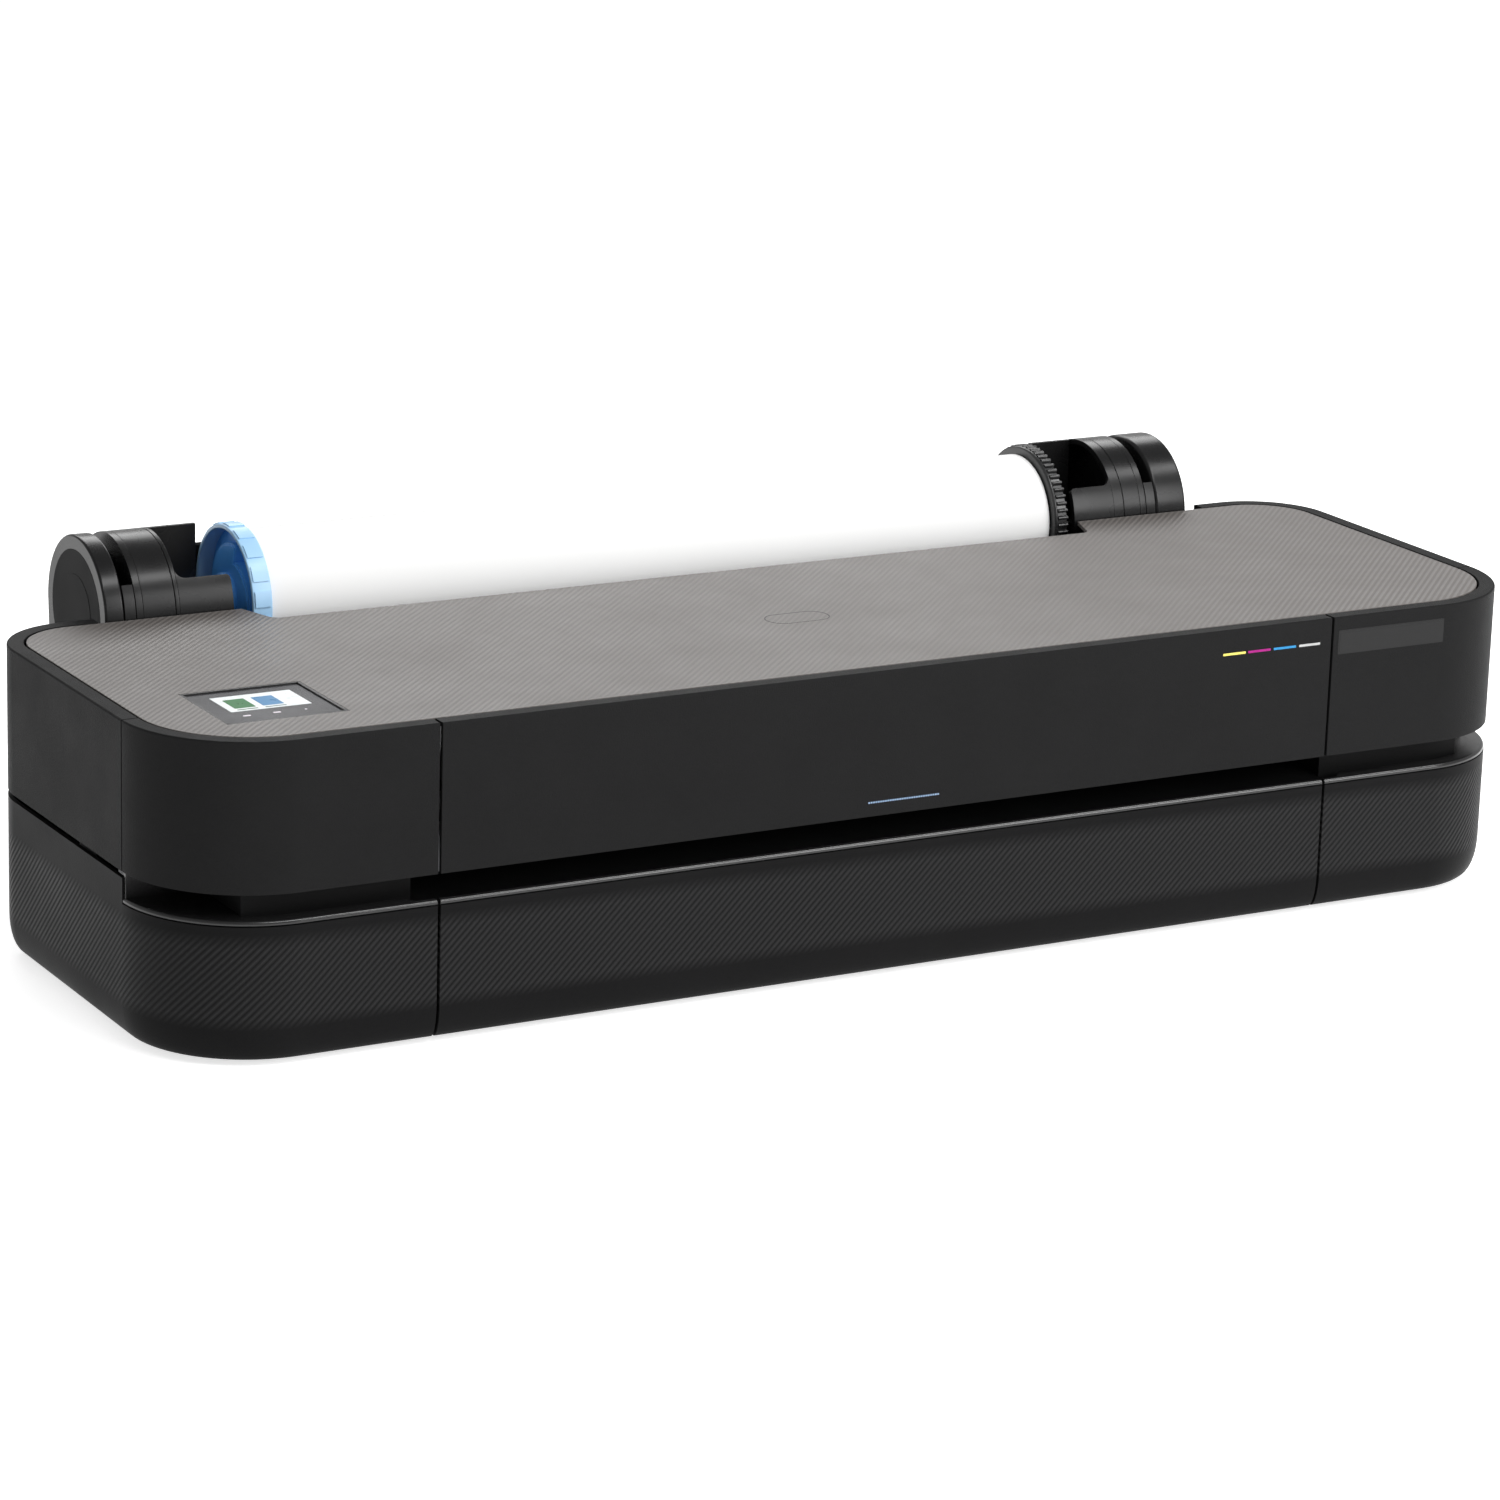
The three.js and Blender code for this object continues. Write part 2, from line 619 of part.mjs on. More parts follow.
function rollCover() {
  const left = [-LEFT.slotOut + ARM_CLEAR, -LEFT.slotIn - ARM_CLEAR];
  const right = [RIGHT.slotIn + ARM_CLEAR, RIGHT.slotOut - ARM_CLEAR];
  const shell = sideways(
    sector(COVER_INSIDE, COVER_OUTSIDE, COVER_FRONT, COVER_FRONT - COVER_SPAN, 20), left[0], right[1],
  );
  const arms = [left, right].map(([x0, x1]) => cut(
    join(
      bar(x0, x1, ARM_HUB, ROLL_Y, ROLL_Z, 32),
      sideways(sector(0, COVER_INSIDE + 1, COVER_FRONT, COVER_FRONT - ARM_SPAN, 6), x0, x1),
    ),
    bar(x0 - 1, x1 + 1, PIVOT + 0.35, ROLL_Y, ROLL_Z),
  ));
  return join(shell, ...arms);
}

add('roll_cover', rollCover(), 'charcoal');

// ---- paper roll on its core, with a hub at each end, turning on the roll axis ----

const spindle = new THREE.Group();
spindle.position.set(0, ROLL_Y, ROLL_Z);
machine.add(spindle);

const CORE_RADIUS = 28;
const CORE_BORE = 25.4;
const LEFT_HUB = { face: -319, rim: -305.2, radius: 49.5 };
const RIGHT_HUB = { rim: 305.2, flange: 308.2, face: 316 };

add('paper_roll', cut(
  bar(-PAPER_HALF, PAPER_HALF, PAPER_RADIUS, 0, 0, 64),
  bar(-PAPER_HALF - 1, PAPER_HALF + 1, CORE_RADIUS + GAP, 0, 0, 32),
), 'paper', spindle);
add('roll_core', cut(
  bar(-PAPER_HALF, PAPER_HALF, CORE_RADIUS, 0, 0, 32),
  bar(-PAPER_HALF - 1, PAPER_HALF + 1, CORE_BORE, 0, 0, 32),
), 'card', spindle);

const leftHub = cut(
  join(
    bar(LEFT_HUB.face, LEFT_HUB.rim, LEFT_HUB.radius, 0, 0, 48),
    bar(LEFT_HUB.rim - 1, -250, CORE_BORE - GAP, 0, 0, 32),
  ),
  bar(LEFT_HUB.face - 1, LEFT_HUB.rim - 3, LEFT_HUB.radius - 5, 0, 0, 48),
);
add('left_hub', join(
  leftHub,
  bar(LEFT_HUB.face, LEFT_HUB.rim - 2, 16, 0, 0, 32),
  bar(-350, LEFT_HUB.rim - 2, AXLE, 0, 0, 32),
), 'blue', spindle);

const hubGear = gearOutline(0, 0, HUB_TEETH, HUB_TOOTH_RADIUS - 2.4, HUB_TOOTH_RADIUS, 0.5);
add('right_hub', join(
  sideways(hubGear, RIGHT_HUB.flange, RIGHT_HUB.face),
  bar(RIGHT_HUB.rim, RIGHT_HUB.flange + 0.5, 49.8, 0, 0, 48),
  bar(250, RIGHT_HUB.rim + 1, CORE_BORE - GAP, 0, 0, 32),
  bar(RIGHT_HUB.face - 1, 339, AXLE, 0, 0, 32),
), 'black', spindle);

// pinion that turns the right hub, below the roll on the side of the body
const HUB_PITCH = HUB_TOOTH_RADIUS - 1.2;
const DRIVE_PITCH = (HUB_PITCH * DRIVE_TEETH) / HUB_TEETH;
const DRIVE_DISTANCE = HUB_PITCH + DRIVE_PITCH + 0.4;
const DRIVE_ANGLE = THREE.MathUtils.degToRad(210);
const DRIVE_Y = ROLL_Y + DRIVE_DISTANCE * Math.cos(DRIVE_ANGLE);
const DRIVE_Z = ROLL_Z + DRIVE_DISTANCE * Math.sin(DRIVE_ANGLE);

const driveOutline = gearOutline(0, 0, DRIVE_TEETH, DRIVE_PITCH - 1.5, DRIVE_PITCH + 1, 0.25);
const drivePinion = add('drive_pinion', join(
  sideways(driveOutline, RIGHT_HUB.flange + 0.5, RIGHT_HUB.face - 0.5),
  bar(RIGHT_HUB.face - 1, 320, 4, 0, 0),
), 'grey');
drivePinion.position.set(0, DRIVE_Y, DRIVE_Z);

// ---- chassis: a sheet-metal beam with a side frame at each end ----

const SHEET = 2;
const BEAM_Y = 228;

function chassis() {
  const beam = block(-FRAME_X - SHEET, FRAME_X + SHEET, BEAM_Y, BEAM_Y + SHEET, 96, 190);
  const foot = block(-FRAME_X - SHEET, FRAME_X + SHEET, BEAM_Y, BEAM_Y + 30, 94, 96);
  const side = polygon([
    [28, 112], [100, 112], [112, 20], [BEAM_Y + SHEET, 20],
    [BEAM_Y + SHEET, 190], [150, 190], [110, 150], [28, 140],
  ]);
  const frames = [[-FRAME_X - SHEET, -FRAME_X], [FRAME_X, FRAME_X + SHEET]].map(([x0, x1]) => cut(
    sideways(side, x0, x1),
    bar(x0 - 1, x1 + 1, BORE, FEED_Y, FEED_Z),
  ));
  return join(beam, foot, ...frames);
}

add('chassis_frame', chassis(), 'zinc');

// ---- rollers: driven feed roller with its gear, pinch roller above, exit roller in front ----

function roller(radius, half, journal, end) {
  return join(bar(-half, half, radius, 0, 0, 28), bar(-end, end, journal, 0, 0));
}

const FEED_PITCH = (FEED_TEETH * FEED_MODULE) / 2;
const PINION_PITCH = (PINION_TEETH * FEED_MODULE) / 2;
const feedGear = gearOutline(0, 0, FEED_TEETH, FEED_PITCH - 1.6, FEED_PITCH + 1.1, 0.5);
const feedRoller = add('feed_roller', join(
  roller(FEED_RADIUS, 420, JOURNAL, FRAME_X + 4),
  sideways(feedGear, -FRAME_X + 2, -FRAME_X + 8),
), 'rubber');
feedRoller.position.set(0, FEED_Y, FEED_Z);

const PINION_Y = FEED_Y + FEED_PITCH + PINION_PITCH + 0.4;
const pinionOutline = gearOutline(0, 0, PINION_TEETH, PINION_PITCH - 1.6, PINION_PITCH + 1.1, 0);
const feedPinion = add('feed_pinion', join(
  sideways(pinionOutline, -FRAME_X + 2, -FRAME_X + 8),
  bar(-FRAME_X + 7, -FRAME_X + 12, 2, 0, 0, 16),
), 'grey');
feedPinion.position.set(0, PINION_Y, FEED_Z);
const feedMotor = add('feed_motor', cut(
  bar(-FRAME_X + 11, -FRAME_X + 48, 14, 0, 0, 32),
  bar(-FRAME_X + 10, -FRAME_X + 20, 2.3, 0, 0, 16),
), 'steel');
feedMotor.position.set(0, PINION_Y, FEED_Z);

const pinchRoller = add('pinch_roller', roller(PINCH_RADIUS, 300, 3, 320), 'grey');
pinchRoller.position.set(0, FEED_Y, FEED_Z + FEED_RADIUS + PINCH_RADIUS + GAP);

const exitRoller = add('exit_roller', roller(EXIT_RADIUS, 295, 2.5, 304), 'rubber');
exitRoller.position.set(0, EXIT_Y, EXIT_Z);

// ---- carriage on its rod, with the printhead, belt, pulleys and motor ----

const CARRIAGE_HALF = 42;
const CARRIAGE = { y0: 112, y1: 192, z0: 116, z1: 186 };
const HEAD_REAR = 152; // the carriage's open tray for the printhead ends here

add('carriage_rod', bar(-FRAME_X + GAP, FRAME_X - GAP, ROD_RADIUS, ROD_Y, ROD_Z), 'steel');

const carriageParts = new THREE.Group();
carriageParts.position.set(HOME_X, 0, 0);
machine.add(carriageParts);

const trayHalf = CARRIAGE_HALF - WALL;
const carriage = cut(
  block(-CARRIAGE_HALF, CARRIAGE_HALF, CARRIAGE.y0, CARRIAGE.y1, CARRIAGE.z0, CARRIAGE.z1),
  bar(-50, 50, ROD_RADIUS + 0.4, ROD_Y, ROD_Z),
  block(-trayHalf, trayHalf, CARRIAGE.y0 + WALL, HEAD_REAR, CARRIAGE.z0 + WALL, BEYOND),
  block(-28, 28, 116, 142, CARRIAGE.z0 - 1, CARRIAGE.z0 + 10),
);
const beltClamp = block(-8, 8, CARRIAGE.y1 - 1, BELT_Y - PULLEY_RADIUS - 2.2, BELT_Z - 5, BELT_Z + 5);
add('carriage', join(carriage, beltClamp), 'black', carriageParts);
add('printhead', join(
  block(-27.5, 27.5, 116.5, 141.5, 98, CARRIAGE.z0 + WALL + 12),
  block(-34, 34, 115.3, 149, CARRIAGE.z0 + WALL + GAP, CARRIAGE.z0 + 42),
), 'grey', carriageParts);

// the belt is a flat loop round two pulleys with upright axes
function loop(radius) {
  const shape = new THREE.Shape();
  shape.absarc(PULLEY_X, BELT_Y, radius, -Math.PI / 2, Math.PI / 2, false);
  shape.absarc(-PULLEY_X, BELT_Y, radius, Math.PI / 2, Math.PI * 1.5, false);
  return shape;
}

const BELT_INSIDE = PULLEY_RADIUS + GAP;
add('carriage_belt', cut(
  plate(loop(BELT_INSIDE + 1.5), BELT_Z - 4, BELT_Z + 4, 12),
  plate(loop(BELT_INSIDE), BELT_Z - 5, BELT_Z + 5, 12),
), 'rubber');
for (const [name, x] of [['drive_pulley', -PULLEY_X], ['idler_pulley', PULLEY_X]]) {
  const pulley = add(name, join(
    post(-5, 4, PULLEY_RADIUS, 0, 0, 24),
    post(-6.5, -4.3, PULLEY_RADIUS + 2.5, 0, 0, 24),
    post(-12, 0, 2.5, 0, 0, 16),
  ), 'steel');
  pulley.position.set(x, BELT_Y, BELT_Z);
}
const carriageMotor = add('carriage_motor', cut(
  post(BELT_Z - 60, BELT_Z - 10, 13.5, 0, 0, 32),
  post(BELT_Z - 20, BELT_Z, 2.8, 0, 0, 16),
), 'steel');
carriageMotor.position.set(-PULLEY_X, BELT_Y, 0);

// ---- cutter on its rail behind the outlet ----

const RAIL = { y: 35, z: 118 };
const CUTTER_HOME = -322;

// the square rail between x0 and x1, from its middle to its faces
function railBlock(x0, x1, half) {
  return block(x0, x1, RAIL.y - half, RAIL.y + half, RAIL.z - half, RAIL.z + half);
}

add('cutter_rail', railBlock(-FRAME_X + GAP, FRAME_X - GAP, 3), 'steel');
const cutter = add('cutter', cut(
  block(-12, 12, RAIL.y - 9, RAIL.y + 9, 100, RAIL.z + 9),
  railBlock(-13, 13, 3.4),
), 'grey');
cutter.position.set(CUTTER_HOME, 0, 0);

// ---- service station under the parked carriage ----

const STATION_TOP = 96.5;
const STATION_HALF = 40;

function serviceStation() {
  const clear = FEED_RADIUS + 2; // round the feed roller, which passes through
  const [x0, x1] = [HOME_X - STATION_HALF, HOME_X + STATION_HALF];
  return cut(
    block(x0, x1, 108, 200, 40, STATION_TOP),
    block(HOME_X - 29, HOME_X + 29, 115, 143, STATION_TOP - 6, BEYOND),
    bar(x0 - 1, x1 + 1, clear, FEED_Y, FEED_Z, 32),
    block(x0 - 1, x1 + 1, FEED_Y - clear, FEED_Y + clear, FEED_Z, BEYOND),
  );
}

add('service_station', serviceStation(), 'grey');

// ---- ink cartridges side by side in their bay, behind the ink door ----

const BAY = { y0: 20, y1: 106, z0: 123, z1: 184 };
const INK = ['black', 'cyan', 'magenta', 'yellow'];
const bayLeft = CARTRIDGE_FIRST_X - CARTRIDGE_PITCH / 2;
const bayRight = bayLeft + CARTRIDGE_PITCH * INK.length;
const bay = cut(
  block(bayLeft - 2, bayRight + 2, BAY.y0, BAY.y1, BAY.z0, BAY.z1),
  ...INK.map((_, i) => {
    const x = CARTRIDGE_FIRST_X + i * CARTRIDGE_PITCH;
    const half = CARTRIDGE_WIDTH / 2 + 0.8;
    return block(x - half, x + half, BAY.y0 - 1, BAY.y1 - WALL, BAY.z0 + WALL, BAY.z1 - WALL);
  }),
);
add('cartridge_bay', bay, 'black');

const cartridges = new THREE.Group();
cartridges.position.set(CARTRIDGE_FIRST_X, 0, 0);
machine.add(cartridges);
INK.forEach((ink, i) => {
  const half = CARTRIDGE_WIDTH / 2;
  const body = block(-half, half, BAY.y0 - 2, BAY.y1 - 10, BAY.z0 + WALL + GAP, BAY.z1 - WALL - 1);
  const grip = block(-4, 4, BAY.y0 - 6, BAY.y0 - 1, 145, 165);
  const cartridge = add(`cartridge_${ink}`, join(body, grip), 'black', cartridges);
  cartridge.position.set(i * CARTRIDGE_PITCH, 0, 0);
});

// ---- electronics ----

add('main_board', join(
  block(-325, -160, 236, 300, 12, 14),
  block(-300, -272, 250, 278, 13, 18),
  block(-250, -236, 246, 290, 13, 24),
), 'board');
const supply = cut(
  block(225, 345, 330, 380, 8, 66),
  ...Array.from({ length: 8 }, (_, i) => block(235 + i * 13, 241 + i * 13, 325, 329.9, 20, 50)),
);
add('power_supply', supply, 'zinc');

machine.position.set(0, -DEPTH / 2, FOOT_HEIGHT);

export default plotter;
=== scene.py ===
import math

import bmesh
import bpy
from mathutils import Matrix, Vector


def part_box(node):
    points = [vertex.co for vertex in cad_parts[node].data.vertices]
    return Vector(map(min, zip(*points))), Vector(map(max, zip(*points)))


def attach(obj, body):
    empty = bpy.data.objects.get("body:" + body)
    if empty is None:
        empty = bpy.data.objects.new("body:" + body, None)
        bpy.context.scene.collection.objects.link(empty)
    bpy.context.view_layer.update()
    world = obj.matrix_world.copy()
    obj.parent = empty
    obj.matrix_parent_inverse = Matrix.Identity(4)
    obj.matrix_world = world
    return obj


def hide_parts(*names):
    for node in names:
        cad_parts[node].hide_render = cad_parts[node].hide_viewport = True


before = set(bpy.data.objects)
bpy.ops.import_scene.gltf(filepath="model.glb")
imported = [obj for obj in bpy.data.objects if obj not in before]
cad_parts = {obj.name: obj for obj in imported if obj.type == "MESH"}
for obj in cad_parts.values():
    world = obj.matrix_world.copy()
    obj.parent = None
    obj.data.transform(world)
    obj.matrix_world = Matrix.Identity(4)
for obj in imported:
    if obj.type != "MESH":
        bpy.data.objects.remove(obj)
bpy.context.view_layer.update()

# ---- studio ----
# A seamless pale floor under three soft boxes and a bright surround.
# The camera stands front left of the plotter, a little above it, with a long lens.

FAR = 30.0  # half width of the floor
CAMERA_PLACE = (-1.68244, -2.97084, 1.06797)
CAMERA_YAW = math.radians(29.58)
CAMERA_PITCH = math.radians(15.85)
CAMERA_ROLL = math.radians(1.72)
CAMERA_LENS = 125.63
SENSOR = 36.0

camera_data = bpy.data.cameras.new("studio_camera")
camera_data.lens = CAMERA_LENS
camera_data.sensor_width = SENSOR
camera = bpy.data.objects.new("studio_camera", camera_data)
heading = Matrix.Rotation(-CAMERA_YAW, 4, "Z") @ Matrix.Rotation(math.pi / 2 - CAMERA_PITCH, 4, "X")
camera.matrix_world = Matrix.Translation(CAMERA_PLACE) @ heading @ Matrix.Rotation(CAMERA_ROLL, 4, "Z")
bpy.context.scene.collection.objects.link(camera)
bpy.context.scene.camera = camera
bpy.context.scene.view_settings.view_transform = "Standard"

HORIZON_LIGHT = 0.62
ZENITH_LIGHT = 0.3
SKY_FADE = (0.15, 0.75)  # heights on the sky's unit globe where the light starts and stops falling
surround = bpy.data.worlds.new("surround")
surround.use_nodes = True
sky = surround.node_tree.nodes
sky_place = sky.new("ShaderNodeTexCoord")
sky_parts = sky.new("ShaderNodeSeparateXYZ")
sky_fade = sky.new("ShaderNodeMapRange")
sky_fade.inputs["From Min"].default_value = SKY_FADE[0]
sky_fade.inputs["From Max"].default_value = SKY_FADE[1]
sky_fade.inputs["To Min"].default_value = HORIZON_LIGHT
sky_fade.inputs["To Max"].default_value = ZENITH_LIGHT
surround.node_tree.links.new(sky_place.outputs["Generated"], sky_parts.inputs["Vector"])
surround.node_tree.links.new(sky_parts.outputs["Z"], sky_fade.inputs["Value"])
surround.node_tree.links.new(sky_fade.outputs["Result"], sky["Background"].inputs["Strength"])
sky["Background"].inputs["Color"].default_value = (1, 1, 1, 1)
bpy.context.scene.world = surround

SOFT_BOXES = {
    # name: (place, point it faces, width, height, watts)
    "soft_box_back": ((0.9, 2.6, 2.0), (0.0, 0.0, 0.2), 3.0, 1.2, 50),
    "strip_box_front": ((0.9, -1.45, 2.6), (0.0, 0.15, 0.2), 3.6, 0.5, 68),
    "tall_box_right": ((1.45, -2.3, 1.25), (0.0, 0.1, 0.2), 1.3, 1.2, 42),
}
for name, (place, target, width, height, watts) in SOFT_BOXES.items():
    light = bpy.data.lights.new(name, "AREA")
    light.shape = "RECTANGLE"
    light.size = width
    light.size_y = height
    light.energy = watts
    lamp = bpy.data.objects.new(name, light)
    aim = Vector(target) - Vector(place)
    lamp.matrix_world = Matrix.Translation(place) @ aim.to_track_quat("-Z", "Y").to_matrix().to_4x4()
    bpy.context.scene.collection.objects.link(lamp)

FLOOR_TONES = (0.86, 0.89)
FLOOR_GLOW = 0.7  # keeps the far floor as pale as the near floor
FLOOR_GRAIN = 3.0
floor_finish = bpy.data.materials.new("pale_floor")
floor_finish.use_nodes = True
floor_nodes = floor_finish.node_tree.nodes
floor_skin = floor_nodes["Principled BSDF"]
floor_skin.inputs["Roughness"].default_value = 0.9
floor_skin.inputs["Emission Color"].default_value = (1, 1, 1, 1)
floor_skin.inputs["Emission Strength"].default_value = FLOOR_GLOW
floor_mix = floor_nodes.new("ShaderNodeMix")
floor_mix.data_type = "RGBA"
floor_mix.inputs[6].default_value = (FLOOR_TONES[0],) * 3 + (1,)
floor_mix.inputs[7].default_value = (FLOOR_TONES[1],) * 3 + (1,)
floor_noise = floor_nodes.new("ShaderNodeTexNoise")
floor_noise.inputs["Scale"].default_value = FLOOR_GRAIN
floor_finish.node_tree.links.new(floor_noise.outputs["Fac"], floor_mix.inputs[0])
floor_finish.node_tree.links.new(floor_mix.outputs[2], floor_skin.inputs["Base Color"])

floor_bm = bmesh.new()
bmesh.ops.create_grid(floor_bm, x_segments=8, y_segments=8, size=FAR)
floor_mesh = bpy.data.meshes.new("studio_floor")
floor_bm.to_mesh(floor_mesh)
floor_bm.free()
floor_mesh.materials.append(floor_finish)
floor = bpy.data.objects.new("studio_floor", floor_mesh)
bpy.context.scene.collection.objects.link(floor)

# ---- upper covers ----
# The ring of charcoal covers round the lid: two fixed corners and sides, the door over the paper path
# and the drop-down door over the ink. Injection moulded, 3 mm thick, with a flat rim along the top.

MM = 0.001
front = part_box("front_door")[0].y
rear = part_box("left_side_panel")[1].y
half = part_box("right_side_panel")[1].x
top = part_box("front_door")[1].z
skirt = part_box("front_door")[0].z
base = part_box("base_tray")[0].z
middle_y = (front + rear) / 2
WALL = 3 * MM
FRONT_CORNER = 83 * MM
REAR_CORNER = 54 * MM
CORNER_STEPS = 28
RIM_WIDTH = 11 * MM
RIM_ROUND = 1.3 * MM
RIM_BREAK = 0.3 * MM
SIDE_SEAM = front + FRONT_CORNER
HOLDER_BAY = 430 * MM  # half width of the opening at the rear for the roll holders
seam_outer = -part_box("left_corner_cover")[1].x
seam_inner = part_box("front_door")[1].x
FLAT = 1e-6  # how near a point lies to a cut to count as on it
HAIR = 2e-6  # points and edges smaller than this are joined up
BROKEN_EDGE = math.radians(40)  # edges sharper than this are rounded off
SHADED_EDGE = math.radians(48)  # edges sharper than this stay crisp in the shading


def body_edges(bm, inset, z):
    """The body's plan outline as one closed loop of edges, drawn in by inset."""
    known = set(bm.faces)
    corners = bmesh.ops.create_grid(bm, x_segments=1, y_segments=1, size=1)["verts"]
    bmesh.ops.scale(bm, vec=(half - inset, (rear - front) / 2 - inset, 1), verts=corners)
    bmesh.ops.translate(bm, vec=(0, middle_y, z), verts=corners)
    fronts = [v for v in corners if v.co.y < middle_y]
    rears = [v for v in corners if v.co.y > middle_y]
    for chosen, radius in ((fronts, FRONT_CORNER), (rears, REAR_CORNER)):
        bmesh.ops.bevel(
            bm, geom=chosen, offset=radius - inset, offset_type="OFFSET", segments=CORNER_STEPS,
            profile=0.5, affect="VERTICES", material=-1, clamp_overlap=False,
        )
    face = next(f for f in bm.faces if f not in known)
    edges = list(face.edges)
    bmesh.ops.delete(bm, geom=[face], context="FACES_ONLY")
    return edges


def outward(point):
    """The direction square to the body's outline at a point near it."""
    radius = FRONT_CORNER if point.y < middle_y else REAR_CORNER
    across = max(abs(point.x) - (half - radius), 0)
    along = min(point.y - (front + radius), 0) if point.y < middle_y else max(point.y - (rear - radius), 0)
    return Vector((math.copysign(across, point.x), along, 0)).normalized()


def body_ring(section):
    """A closed wall round the body; section lists its (inset, height) corners in order."""
    bm = bmesh.new()
    loop = body_edges(bm, *section[0])
    for (inset, z), (next_inset, next_z) in zip(section, section[1:] + section[:1]):
        drawn = bmesh.ops.extrude_edge_only(bm, edges=loop)["geom"]
        verts = {g for g in drawn if isinstance(g, bmesh.types.BMVert)}
        loop = [g for g in drawn if isinstance(g, bmesh.types.BMEdge) and verts.issuperset(g.verts)]
        for v in verts:
            v.co += outward(v.co) * (inset - next_inset) + Vector((0, 0, next_z - z))
    bmesh.ops.remove_doubles(bm, verts=bm.verts[:], dist=HAIR)
    bmesh.ops.recalc_face_normals(bm, faces=bm.faces[:])
    return bm


def cut_away(bm, point, normal, among=None):
    """Cuts off the side of a plane that its normal points to, and closes the cut."""
    chosen = [f for f in bm.faces if among is None or among(f.calc_center_median())]
    edges = dict.fromkeys(e for f in chosen for e in f.edges)
    verts = dict.fromkeys(v for f in chosen for v in f.verts)
    cut = bmesh.ops.bisect_plane(
        bm, geom=[*verts, *edges, *chosen], dist=FLAT, plane_co=point, plane_no=normal, clear_outer=True,
    )["geom_cut"]
    rim_edges = [g for g in cut if isinstance(g, bmesh.types.BMEdge) and len(g.link_faces) == 1]
    bmesh.ops.edgeloop_fill(bm, edges=rim_edges)
    bmesh.ops.recalc_face_normals(bm, faces=bm.faces[:])


def score(bm, point, normal):
    """Adds edges wherever a plane crosses the mesh, and takes nothing away."""
    everything = bm.verts[:] + bm.edges[:] + bm.faces[:]
    bmesh.ops.bisect_plane(bm, geom=everything, dist=FLAT, plane_co=point, plane_no=normal)


def take_in(bm, other):
    """Adds another mesh to this one as a separate body, and frees it."""
    spare = bpy.data.meshes.new("spare")
    other.to_mesh(spare)
    other.free()
    bm.from_mesh(spare)
    bpy.data.meshes.remove(spare)


def window(bm, low, high):
    """Deletes the faces between two corners, and returns the edges left open; None leaves a side open."""
    for axis in range(3):
        normal = Vector((axis == 0, axis == 1, axis == 2))
        for limit in (low[axis], high[axis]):
            if limit is not None:
                score(bm, normal * limit, normal)

    def inside(face):
        centre = face.calc_center_median()
        above = all(low[i] is None or centre[i] > low[i] for i in range(3))
        return above and all(high[i] is None or centre[i] < high[i] for i in range(3))

    bmesh.ops.delete(bm, geom=[f for f in bm.faces if inside(f)], context="FACES")
    return [e for e in bm.edges if len(e.link_faces) == 1]


def quarter_round(radius, steps=4):
    """Points of a quarter circle as (inset, drop), from the side to the top."""
    angles = [math.pi / 2 * i / steps for i in range(steps + 1)]
    return [(radius * (1 - math.cos(a)), radius * (1 - math.sin(a))) for a in angles]


def make_piece(name, bm, finish, body="frame", stands_for=(), soften=0.0):
    """Makes a mesh a piece of the plotter that rides on a body, with its sharp edges rounded off."""
    if soften:
        shortest = 2.2 * soften
        sharp = [
            e for e in bm.edges
            if len(e.link_faces) == 2 and e.calc_face_angle() > BROKEN_EDGE and e.calc_length() > shortest
        ]
        bmesh.ops.bevel(
            bm, geom=sharp, offset=soften, offset_type="OFFSET", segments=2, profile=0.5,
            affect="EDGES", material=-1, clamp_overlap=True,
        )
    bmesh.ops.dissolve_degenerate(bm, dist=HAIR, edges=bm.edges[:])
    bmesh.ops.recalc_face_normals(bm, faces=bm.faces[:])
    mesh = bpy.data.meshes.new(name)
    bm.to_mesh(mesh)
    bm.free()
    mesh.polygons.foreach_set("use_smooth", [True] * len(mesh.polygons))
    mesh.set_sharp_from_angle(angle=SHADED_EDGE)
    mesh.materials.append(finish)
    piece = bpy.data.objects.new(name, mesh)
    bpy.context.scene.collection.objects.link(piece)
    even = piece.modifiers.new("even_shading", "WEIGHTED_NORMAL")
    even.keep_sharp = True
    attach(piece, body)
    if stands_for:
        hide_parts(*stands_for)
    return piece


def base_finish(name, dark, light, roughness, patch, metallic=0.0, shine=0.5):
    """A finish whose colour drifts between two close tones; returns it with its parts."""
    finish = bpy.data.materials.new(name)
    finish.use_nodes = True
    nodes = finish.node_tree.nodes
    links = finish.node_tree.links
    skin = nodes["Principled BSDF"]
    skin.inputs["Metallic"].default_value = metallic
    skin.inputs["Specular IOR Level"].default_value = shine
    place = nodes.new("ShaderNodeTexCoord")
    patches = nodes.new("ShaderNodeTexNoise")
    patches.inputs["Scale"].default_value = 1 / patch
    patches.inputs["Detail"].default_value = 4
    links.new(place.outputs["Object"], patches.inputs["Vector"])
    tones = nodes.new("ShaderNodeMix")
    tones.data_type = "RGBA"
    tones.inputs[6].default_value = (*dark, 1)
    tones.inputs[7].default_value = (*light, 1)
    links.new(patches.outputs["Fac"], tones.inputs[0])
    links.new(tones.outputs[2], skin.inputs["Base Color"])
    sheen = nodes.new("ShaderNodeMapRange")
    sheen.inputs["From Min"].default_value = 0.3
    sheen.inputs["From Max"].default_value = 0.7
    sheen.inputs["To Min"].default_value = roughness - 0.04
    sheen.inputs["To Max"].default_value = roughness + 0.04
    links.new(patches.outputs["Fac"], sheen.inputs["Value"])
    links.new(sheen.outputs["Result"], skin.inputs["Roughness"])
    return finish, nodes, links, skin, place, tones


